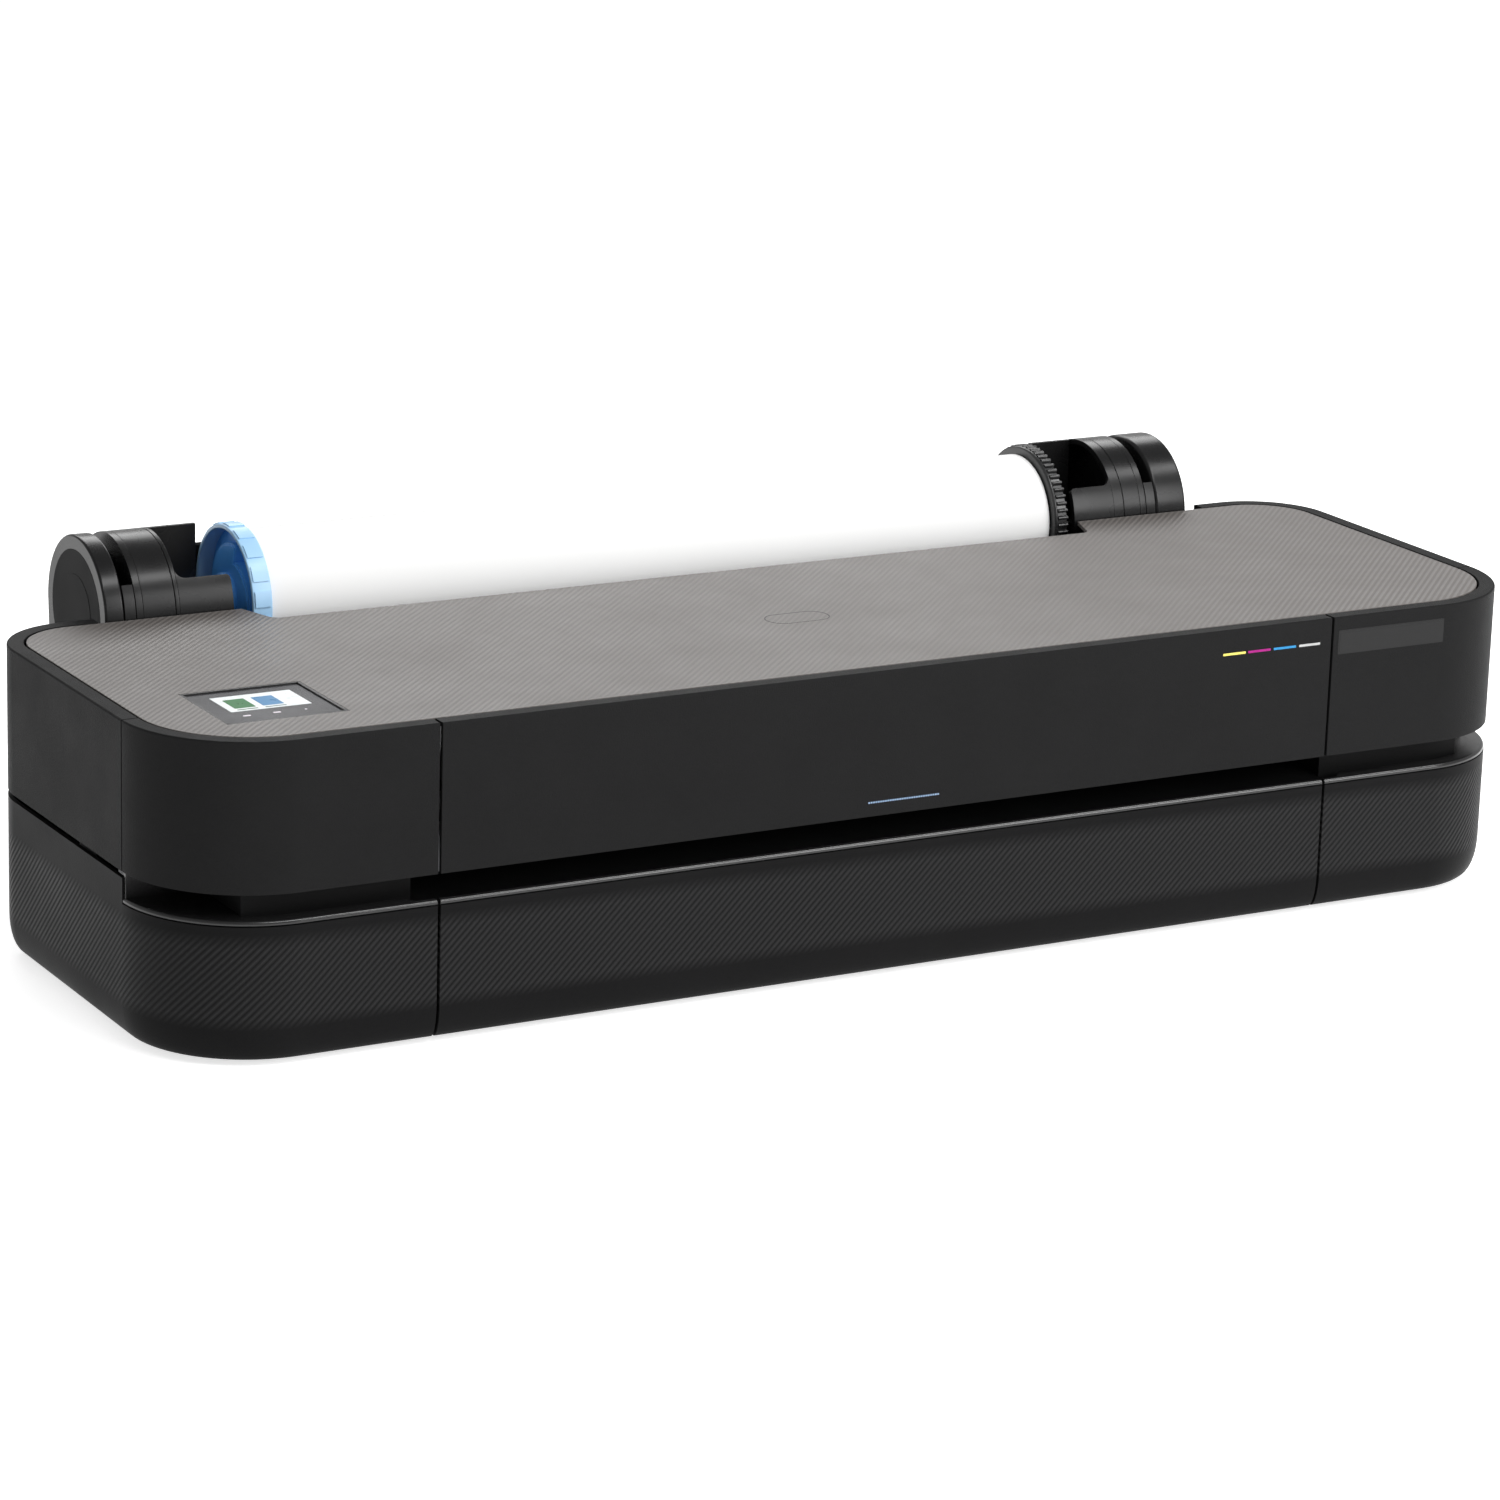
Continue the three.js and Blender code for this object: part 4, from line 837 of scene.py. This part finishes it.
def slab(bm, outline, x0, x1, edge=0.0, steps=3):
    """A plate with an outline in (y, z), from x0 to x1, with the edges of both ends rounded."""
    face = bm.faces.new([bm.verts.new((x0, y, z)) for y, z in outline])
    drawn = bmesh.ops.extrude_face_region(bm, geom=[face])["geom"]
    far = next(g for g in drawn if isinstance(g, bmesh.types.BMFace))
    bmesh.ops.translate(bm, vec=(x1 - x0, 0, 0), verts=far.verts[:])
    sides = dict.fromkeys(f for v in list(face.verts) + list(far.verts) for f in v.link_faces)
    bmesh.ops.recalc_face_normals(bm, faces=list(sides))
    if edge:
        ends = list(face.edges) + list(far.edges)
        bmesh.ops.bevel(
            bm, geom=ends, offset=edge, offset_type="OFFSET", segments=steps, profile=0.5,
            affect="EDGES", material=-1, clamp_overlap=True,
        )


def neck_angle(radius):
    """Where a circle of that radius meets the back of the neck, in degrees past the rear."""
    return -180 - math.degrees(math.asin((roll_y - NECK_REAR) / radius))


def holder(name, sign, outer, slot_out, slot_in, seam, drum_in, cradle_in, edge):
    """One holder; distances run from the outer face in to the cradle's end, on the side of sign."""
    bm = bmesh.new()
    drum_front = roll_y - DRUM
    end_rear = roll_y + DRUM - TAIL_IN
    lowest = holder_bottom
    foot_curve = [
        (end_rear - TAIL * (1 - math.sin(a)), lowest + TAIL * (1 - math.cos(a)))
        for a in (math.pi / 2 * i / 8 for i in range(9))
    ]
    end_plate = [(drum_front, lowest), *arc(DRUM, 90, -90, 48), *foot_curve[::-1]]
    slab(bm, end_plate, sign * outer, sign * (slot_out + JOINT), edge, 4)

    slotted = [
        (drum_front, lowest), *arc(DRUM, 90, SLOT_FRONT, 6), *arc(ARM_ROOM, SLOT_FRONT, 360 + SLOT_REAR, 24),
        *arc(DRUM, SLOT_REAR, neck_angle(DRUM), 16), (NECK_REAR, lowest),
    ]
    slab(bm, slotted, sign * slot_out, sign * (slot_in + JOINT), BAND_EDGE)

    inner = DRUM - DRUM_WALL
    full = [(drum_front, lowest), *arc(DRUM, 90, neck_angle(DRUM), 48), (NECK_REAR, lowest)]
    slab(bm, full, sign * slot_in, sign * (slot_in - BULKHEAD), BAND_EDGE)
    tube = [
        (drum_front, lowest), *arc(DRUM, 90, neck_angle(DRUM), 48), (NECK_REAR, lowest),
        (NECK_REAR - DRUM_WALL, lowest), *arc(inner, neck_angle(inner), 90, 48),
        (drum_front + DRUM_WALL, lowest),
    ]
    slab(bm, tube, sign * (slot_in - BULKHEAD), sign * (seam + JOINT / 2), BAND_EDGE)
    slab(bm, tube, sign * (seam - JOINT / 2), sign * drum_in, BAND_EDGE)

    # the cradle's front wall is cut flat, with a fillet at the drum, and then bent round the drum's circle
    arc_length = DRUM * math.radians(90 - CRADLE_TOP)
    lower = roll_z - lowest
    reach = drum_in - cradle_in
    flat = [(0, -lower), (0, arc_length + FILLET)]
    flat += [
        (FILLET * (1 - math.cos(a)), arc_length + FILLET * (1 - math.sin(a)))
        for a in (math.pi / 2 * i / 6 for i in range(7))
    ]
    flat += [
        (reach - CRADLE_CORNER * (1 - math.sin(a)), arc_length - CRADLE_CORNER * (1 - math.cos(a)))
        for a in (math.pi / 2 * i / 5 for i in range(6))
    ]
    flat.append((reach, -lower))
    flat = [p for i, p in enumerate(flat) if i == 0 or (Vector(p) - Vector(flat[i - 1])).length > 1e-5]
    sheet = bmesh.new()
    face = sheet.faces.new([sheet.verts.new((sign * (drum_in - x), 0, s)) for x, s in flat])
    drawn = bmesh.ops.extrude_face_region(sheet, geom=[face])["geom"]
    back = next(g for g in drawn if isinstance(g, bmesh.types.BMFace))
    bmesh.ops.translate(sheet, vec=(0, DRUM_WALL, 0), verts=back.verts[:])
    bmesh.ops.bevel(
        sheet, geom=list(face.edges) + list(back.edges), offset=CRADLE_EDGE, offset_type="OFFSET", segments=3,
        profile=0.5, affect="EDGES", material=-1, clamp_overlap=True,
    )
    for i in range(CRADLE_BENDS):
        score(sheet, (0, 0, (arc_length + FILLET) * i / CRADLE_BENDS), (0, 0, 1))
    for v in sheet.verts:
        depth, s = v.co.y, v.co.z
        if s <= 0:
            v.co.y, v.co.z = drum_front + depth, roll_z + s
        else:
            a = s / DRUM
            radius = DRUM - depth
            v.co.y, v.co.z = roll_y - radius * math.cos(a), roll_z + radius * math.sin(a)
    bmesh.ops.recalc_face_normals(sheet, faces=sheet.faces[:])
    take_in(bm, sheet)

    web = [(WEB_Y, CRADLE_FLOOR), (WEB_Y, WEB_TOP), (WEB_Y + WALL, WEB_TOP), (WEB_Y + WALL, CRADLE_FLOOR)]
    slab(bm, web, sign * drum_in, sign * cradle_in, 0.4 * MM)
    shelf = [
        (drum_front + DRUM_WALL, CRADLE_FLOOR), (WEB_Y, CRADLE_FLOOR),
        (WEB_Y, CRADLE_FLOOR + DRUM_WALL), (drum_front + DRUM_WALL, CRADLE_FLOOR + DRUM_WALL),
    ]
    slab(bm, shelf, sign * drum_in, sign * cradle_in)
    saddle = [
        (drum_front + 3 * MM, CRADLE_FLOOR + DRUM_WALL), (drum_front + 3 * MM, roll_z),
        *arc(AXLE_SEAT, 90, 270, 20), (WEB_Y, roll_z), (WEB_Y, CRADLE_FLOOR + DRUM_WALL),
    ]
    slab(bm, saddle, sign * (cradle_in + 12 * MM), sign * (cradle_in + 6 * MM), 0.4 * MM)
    pin = arc(4 * MM, 0, 345, 23)
    slab(bm, pin, sign * (slot_out + 2 * MM), sign * (slot_in - 2 * MM))
    make_piece(f"{name}_moulding", bm, holder_gloss, "frame", [name])


holder("roll_holder_left", -1, 424.6 * MM, 410.9 * MM, 402.8 * MM, 375 * MM, 372 * MM, 334 * MM, 1.6 * MM)
holder("roll_holder_right", 1, 417 * MM, 390.4 * MM, 382.3 * MM, 363.5 * MM, 355 * MM, 321 * MM, 2.6 * MM)

# ---- end caps of the holders ----
# A flat matt disc closes each drum's outer face, pressed into a shallow seat.
# A low raised panel with a round top is moulded on it.

CAP = 41.6 * MM
CAP_PROUD = 0.45 * MM  # the disc's face stands this far past its seat
CAP_THICK = 0.9 * MM
CAP_PANEL = 25 * MM  # half width of the raised panel, and the radius of its top
CAP_PANEL_FOOT = 30 * MM
CAP_PANEL_PROUD = 0.2 * MM
cap_finish = moulded(
    "cap_moulding", (0.007, 0.007, 0.0072), (0.010, 0.010, 0.0102), 0.5,
    grain=0.9 * MM, depth=0.2 * MM, shine=0.03,
)
for name, sign in (("holder_cap_left", -1), ("holder_cap_right", 1)):
    cap_low, cap_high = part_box(name)
    outside = (cap_low.x if sign < 0 else cap_high.x) + sign * CAP_PROUD
    cap_bm = bmesh.new()
    slab(cap_bm, arc(CAP, 0, 354, 59), outside, outside - sign * CAP_THICK, 0.3 * MM)
    panel_foot = roll_z - CAP_PANEL_FOOT
    raised = [
        (roll_y + CAP_PANEL, panel_foot), *arc(CAP_PANEL, -90, 90, 24), (roll_y - CAP_PANEL, panel_foot),
    ]
    slab(cap_bm, raised, outside - sign * 0.1 * MM, outside + sign * CAP_PANEL_PROUD, 0.15 * MM)
    make_piece(f"{name}_disc", cap_bm, cap_finish, "frame", [name])

# ---- paper roll, core and hubs ----
# Coated paper wound on a card core. The left hub is a blue moulding with grip pads and a cam ring;
# the right hub is black with sixty rounded teeth that the drive pinion turns.

PAPER_PLY = 0.9 * MM


def paper_finish():
    """White coated paper; the wound edges show as faint rings about the roll's axis."""
    finish, nodes, links, skin, place, _ = base_finish(
        "coated_paper", (0.80, 0.80, 0.795), (0.84, 0.84, 0.835), 0.62, 120 * MM, shine=0.25,
    )
    centre = nodes.new("ShaderNodeMapping")
    centre.inputs["Location"].default_value = (0, -roll_y, -roll_z)
    centre.inputs["Scale"].default_value = (0, 1, 1)
    links.new(place.outputs["Object"], centre.inputs["Vector"])
    radius = nodes.new("ShaderNodeVectorMath")
    radius.operation = "LENGTH"
    links.new(centre.outputs["Vector"], radius.inputs[0])
    plies = nodes.new("ShaderNodeMath")
    plies.operation = "PINGPONG"
    plies.inputs[1].default_value = PAPER_PLY
    links.new(radius.outputs["Value"], plies.inputs[0])
    relief = nodes.new("ShaderNodeBump")
    relief.inputs["Strength"].default_value = 0.3
    relief.inputs["Distance"].default_value = 0.2
    links.new(plies.outputs["Value"], relief.inputs["Height"])
    links.new(relief.outputs["Normal"], skin.inputs["Normal"])
    return finish


def turned(bm, profile, steps=96):
    """A turned part about the roll's axis from a closed profile of (x, radius)."""
    verts = [bm.verts.new((x, roll_y, roll_z + radius)) for x, radius in profile]
    edges = [bm.edges.new((a, b)) for a, b in zip(verts, verts[1:] + verts[:1])]
    bmesh.ops.spin(
        bm, geom=verts + edges, cent=(0, roll_y, roll_z), axis=(1, 0, 0), angle=2 * math.pi,
        steps=steps, use_merge=True, use_duplicate=False,
    )


paper_low, paper_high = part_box("paper_roll")
PAPER = 44 * MM
CORE = 28.3 * MM
CORE_BORE = 25.4 * MM
CORE_PLAY = 0.3 * MM
EYE = 0.5 * MM  # turned parts stop this short of the axis
roll_bm = bmesh.new()
turned(roll_bm, [
    (paper_low.x, CORE), (paper_low.x, PAPER - 0.6 * MM), (paper_low.x + 0.6 * MM, PAPER),
    (paper_high.x - 0.6 * MM, PAPER), (paper_high.x, PAPER - 0.6 * MM), (paper_high.x, CORE),
])
make_piece("paper_winding", roll_bm, paper_finish(), "roll", ["paper_roll"])

card = moulded(
    "core_card", (0.40, 0.27, 0.15), (0.46, 0.32, 0.19), 0.85,
    grain=1.5 * MM, depth=0.05 * MM, patch=6 * MM,
)
core_bm = bmesh.new()
turned(core_bm, [
    (paper_low.x, CORE_BORE), (paper_low.x, CORE - CORE_PLAY),
    (paper_high.x, CORE - CORE_PLAY), (paper_high.x, CORE_BORE),
], 64)
make_piece("card_core", core_bm, card, "roll", ["roll_core"])

hub_blue = moulded(
    "hub_blue", (0.080, 0.35, 0.86), (0.10, 0.41, 0.94), 0.32,
    grain=3 * MM, depth=0.01 * MM, patch=30 * MM,
)
rim_blue = moulded(
    "hub_rim_blue", (0.34, 0.58, 0.82), (0.40, 0.63, 0.87), 0.35,
    grain=3 * MM, depth=0.01 * MM, patch=30 * MM,
)
hub_low, hub_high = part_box("left_hub")
HUB = 49.5 * MM
RIM_WALL = 4 * MM
HUB_FACE = -319 * MM
HUB_BACK = -305.2 * MM
AXLE = 8.3 * MM
PADS = 18
PAD_SHARE = 0.31  # half of a pad's share of its pitch
PAD_SINK = 1.5 * MM
CAMS = 3
CAM_START = 27
CAM_RISE = 11

hub_bm = bmesh.new()
turned(hub_bm, [
    (HUB_BACK - 3 * MM, EYE), (HUB_BACK - 3 * MM, HUB - RIM_WALL), (HUB_BACK, HUB - RIM_WALL + 1 * MM),
    (HUB_BACK, CORE_BORE - CORE_PLAY), (hub_high.x, CORE_BORE - 0.8 * MM), (hub_high.x, EYE),
])
turned(hub_bm, [
    (hub_low.x, EYE), (hub_low.x, AXLE - 0.8 * MM), (hub_low.x + 0.8 * MM, AXLE),
    (HUB_FACE - 2 * MM, AXLE), (HUB_FACE - 2 * MM, 15 * MM), (HUB_FACE - 1 * MM, 16 * MM),
    (HUB_BACK - 2.5 * MM, 16 * MM), (HUB_BACK - 2.5 * MM, EYE),
], 64)


def cam_ring(inner_shift):
    """Outline of the locking cams: radius grows along each cam and steps back at its end."""
    points = []
    for cam in range(CAMS):
        for i in range(17):
            turn = math.radians((cam + i / 16 * 0.97) * 360 / CAMS + 20)
            radius = (CAM_START + CAM_RISE * i / 16) * MM - inner_shift
            points.append((roll_y - radius * math.sin(turn), roll_z + radius * math.cos(turn)))
    return points


slab(hub_bm, cam_ring(0), HUB_FACE + 3.5 * MM, HUB_BACK - 2.8 * MM, 0.4 * MM)
slab(hub_bm, cam_ring(1.6 * MM), HUB_FACE + 2.5 * MM, HUB_FACE + 4 * MM, 0.3 * MM)
make_piece("left_hub_moulding", hub_bm, hub_blue, "roll", ["left_hub"])

rim_bm = bmesh.new()
turned(rim_bm, [
    (HUB_FACE + 0.8 * MM, HUB - 0.9 * MM), (HUB_FACE, HUB - 1.7 * MM), (HUB_FACE, HUB - RIM_WALL + 0.6 * MM),
    (HUB_FACE + 0.6 * MM, HUB - RIM_WALL), (HUB_BACK - 0.5 * MM, HUB - RIM_WALL), (HUB_BACK, HUB - 1.5 * MM),
    (HUB_BACK - 0.8 * MM, HUB - 0.9 * MM),
])
for i in range(PADS):
    middle = 360 * i / PADS
    spread = 360 / PADS * PAD_SHARE
    pad = arc(HUB, middle - spread, middle + spread, 6)
    pad += arc(HUB - PAD_SINK, middle + spread, middle - spread, 6)
    slab(rim_bm, pad, HUB_FACE + 1.2 * MM, HUB_BACK - 1.2 * MM, 0.35 * MM)
make_piece("left_hub_rim", rim_bm, rim_blue, "roll")

gear_black = moulded(
    "gear_black", (0.014, 0.014, 0.0145), (0.019, 0.019, 0.0195), 0.28, grain=3 * MM, depth=0.005 * MM,
)
TEETH = 60
TOOTH_TIP = 50.7 * MM
TOOTH_ROOT = 48.3 * MM
right_low, right_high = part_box("right_hub")
FLANGE = 308.2 * MM
FLANGE_RADIUS = 49.8 * MM
GEAR_FACE = 316 * MM


def round_teeth(cy, cz, teeth, root, tip, phase):
    """Gear outline with rounded teeth about an axis at (cy, cz)."""
    shape = ((-0.30, 0.0), (-0.24, 0.45), (-0.15, 0.9), (0.0, 1.0), (0.15, 0.9), (0.24, 0.45), (0.30, 0.0))
    points = []
    for i in range(teeth):
        for step, rise in shape:
            turn = (i + phase + step) * 2 * math.pi / teeth
            radius = root + (tip - root) * rise
            points.append((cy + radius * math.cos(turn), cz + radius * math.sin(turn)))
    return points


gear_bm = bmesh.new()
toothed = round_teeth(roll_y, roll_z, TEETH, TOOTH_ROOT, TOOTH_TIP, 0.5)
slab(gear_bm, toothed, FLANGE - 0.2 * MM, GEAR_FACE, 0.25 * MM, 2)
turned(gear_bm, [
    (paper_high.x + 0.7 * MM, EYE), (paper_high.x + 0.7 * MM, 48.6 * MM),
    (paper_high.x + 1.9 * MM, FLANGE_RADIUS), (FLANGE - 0.8 * MM, FLANGE_RADIUS),
    (FLANGE, 49.2 * MM), (FLANGE, EYE),
])
turned(gear_bm, [
    (right_low.x, EYE), (right_low.x, CORE_BORE - 0.8 * MM),
    (paper_high.x + 1 * MM, CORE_BORE - CORE_PLAY), (paper_high.x + 1 * MM, EYE),
], 64)
turned(gear_bm, [
    (GEAR_FACE - 0.5 * MM, EYE), (GEAR_FACE - 0.5 * MM, 24 * MM), (GEAR_FACE + 1.5 * MM, 23 * MM),
    (GEAR_FACE + 4 * MM, 18 * MM), (GEAR_FACE + 4.5 * MM, AXLE), (right_high.x - 1 * MM, AXLE),
    (right_high.x, AXLE - 1 * MM), (right_high.x, EYE),
], 64)
make_piece("right_hub_gear", gear_bm, gear_black, "roll", ["right_hub"])

# ---- working parts ----
# Everything that shows when the doors are open or from behind: sheet steel, turned shafts, rubber rollers,
# moulded carriage, cartridges and housings. Each is its own moulding or pressing with broken edges.

steel = moulded(
    "bright_steel", (0.45, 0.45, 0.46), (0.55, 0.55, 0.56), 0.3,
    grain=1 * MM, depth=0.004 * MM, metallic=1.0,
)
zinc = moulded(
    "zinc_sheet", (0.42, 0.43, 0.44), (0.56, 0.57, 0.58), 0.42,
    grain=6 * MM, depth=0.01 * MM, patch=9 * MM, metallic=1.0,
)
rubber = moulded("rubber", (0.012, 0.012, 0.012), (0.018, 0.018, 0.018), 0.8, grain=0.8 * MM, depth=0.05 * MM)
grey = moulded("grey_moulding", (0.10, 0.105, 0.115), (0.125, 0.13, 0.14), 0.5, grain=0.8 * MM)
board = moulded("board_green", (0.010, 0.085, 0.035), (0.02, 0.12, 0.055), 0.4, grain=3 * MM, patch=4 * MM)

WORKING_PARTS = {
    # node: (finish, slot, body, width of its broken edges)
    "platen": (shadow_black, "shadow_plastic", "frame", 0.5),
    "pocket_wall": (shadow_black, "shadow_plastic", "frame", 0.4),
    "rear_housing": (charcoal, "charcoal_shell", "frame", 1.2),
    "base_tray": (charcoal, "charcoal_shell", "frame", 0.6),
    "roll_trough": (charcoal, "charcoal_shell", "frame", 0.5),
    "roll_cover": (charcoal, "charcoal_shell", "roll_cover", 0.5),
    "foot_front_left": (rubber, "rubber", "frame", 0.8),
    "foot_front_right": (rubber, "rubber", "frame", 0.8),
    "foot_rear_left": (rubber, "rubber", "frame", 0.8),
    "foot_rear_right": (rubber, "rubber", "frame", 0.8),
    "power_inlet": (black_gloss, "black_trim", "frame", 0.3),
    "port_block": (black_gloss, "black_trim", "frame", 0.3),
    "chassis_frame": (zinc, "zinc_sheet", "frame", 0.3),
    "feed_roller": (rubber, "rubber", "feed_roller", 0.2),
    "feed_pinion": (grey, "grey_plastic", "feed_pinion", 0.15),
    "feed_motor": (steel, "steel", "frame", 0.6),
    "pinch_roller": (grey, "grey_plastic", "pinch_roller", 0.3),
    "exit_roller": (rubber, "rubber", "exit_roller", 0.3),
    "carriage_rod": (steel, "steel", "frame", 0.5),
    "carriage": (black_gloss, "black_trim", "carriage", 1.0),
    "printhead": (grey, "grey_plastic", "carriage", 0.8),
    "carriage_belt": (rubber, "rubber", "frame", 0.2),
    "drive_pulley": (steel, "steel", "drive_pulley", 0.3),
    "idler_pulley": (steel, "steel", "idler_pulley", 0.3),
    "carriage_motor": (steel, "steel", "frame", 0.6),
    "cutter_rail": (steel, "steel", "frame", 0.3),
    "cutter": (grey, "grey_plastic", "cutter", 0.8),
    "service_station": (grey, "grey_plastic", "frame", 0.8),
    "cartridge_bay": (black_gloss, "black_trim", "frame", 0.4),
    "main_board": (board, "board_green", "frame", 0.2),
    "power_supply": (zinc, "zinc_sheet", "frame", 0.4),
    "drive_pinion": (grey, "grey_plastic", "drive_pinion", 0.15),
}
INK_SHELLS = {
    "cartridge_black": ((0.012, 0.012, 0.013), (0.02, 0.02, 0.021), "ink_black"),
    "cartridge_cyan": ((0.01, 0.20, 0.42), (0.02, 0.26, 0.5), "ink_cyan"),
    "cartridge_magenta": ((0.36, 0.01, 0.15), (0.44, 0.02, 0.2), "ink_magenta"),
    "cartridge_yellow": ((0.72, 0.52, 0.03), (0.8, 0.6, 0.06), "ink_yellow"),
}
for name, (dark, light, slot) in INK_SHELLS.items():
    WORKING_PARTS[name] = (moulded(f"{name}_shell", dark, light, 0.35), slot, name, 0.8)


def plain_copy(node):
    """A merged copy of a part's mesh, with its flat faces joined up."""
    bm = bmesh.new()
    bm.from_mesh(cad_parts[node].data)
    bmesh.ops.remove_doubles(bm, verts=bm.verts[:], dist=1e-5)
    bmesh.ops.dissolve_limit(bm, angle_limit=math.radians(1), verts=bm.verts[:], edges=bm.edges[:])
    return bm


for node, (finish, slot, body, width) in WORKING_PARTS.items():
    make_piece(f"{node}_finished", plain_copy(node), finish, body, [node], soften=width * MM)
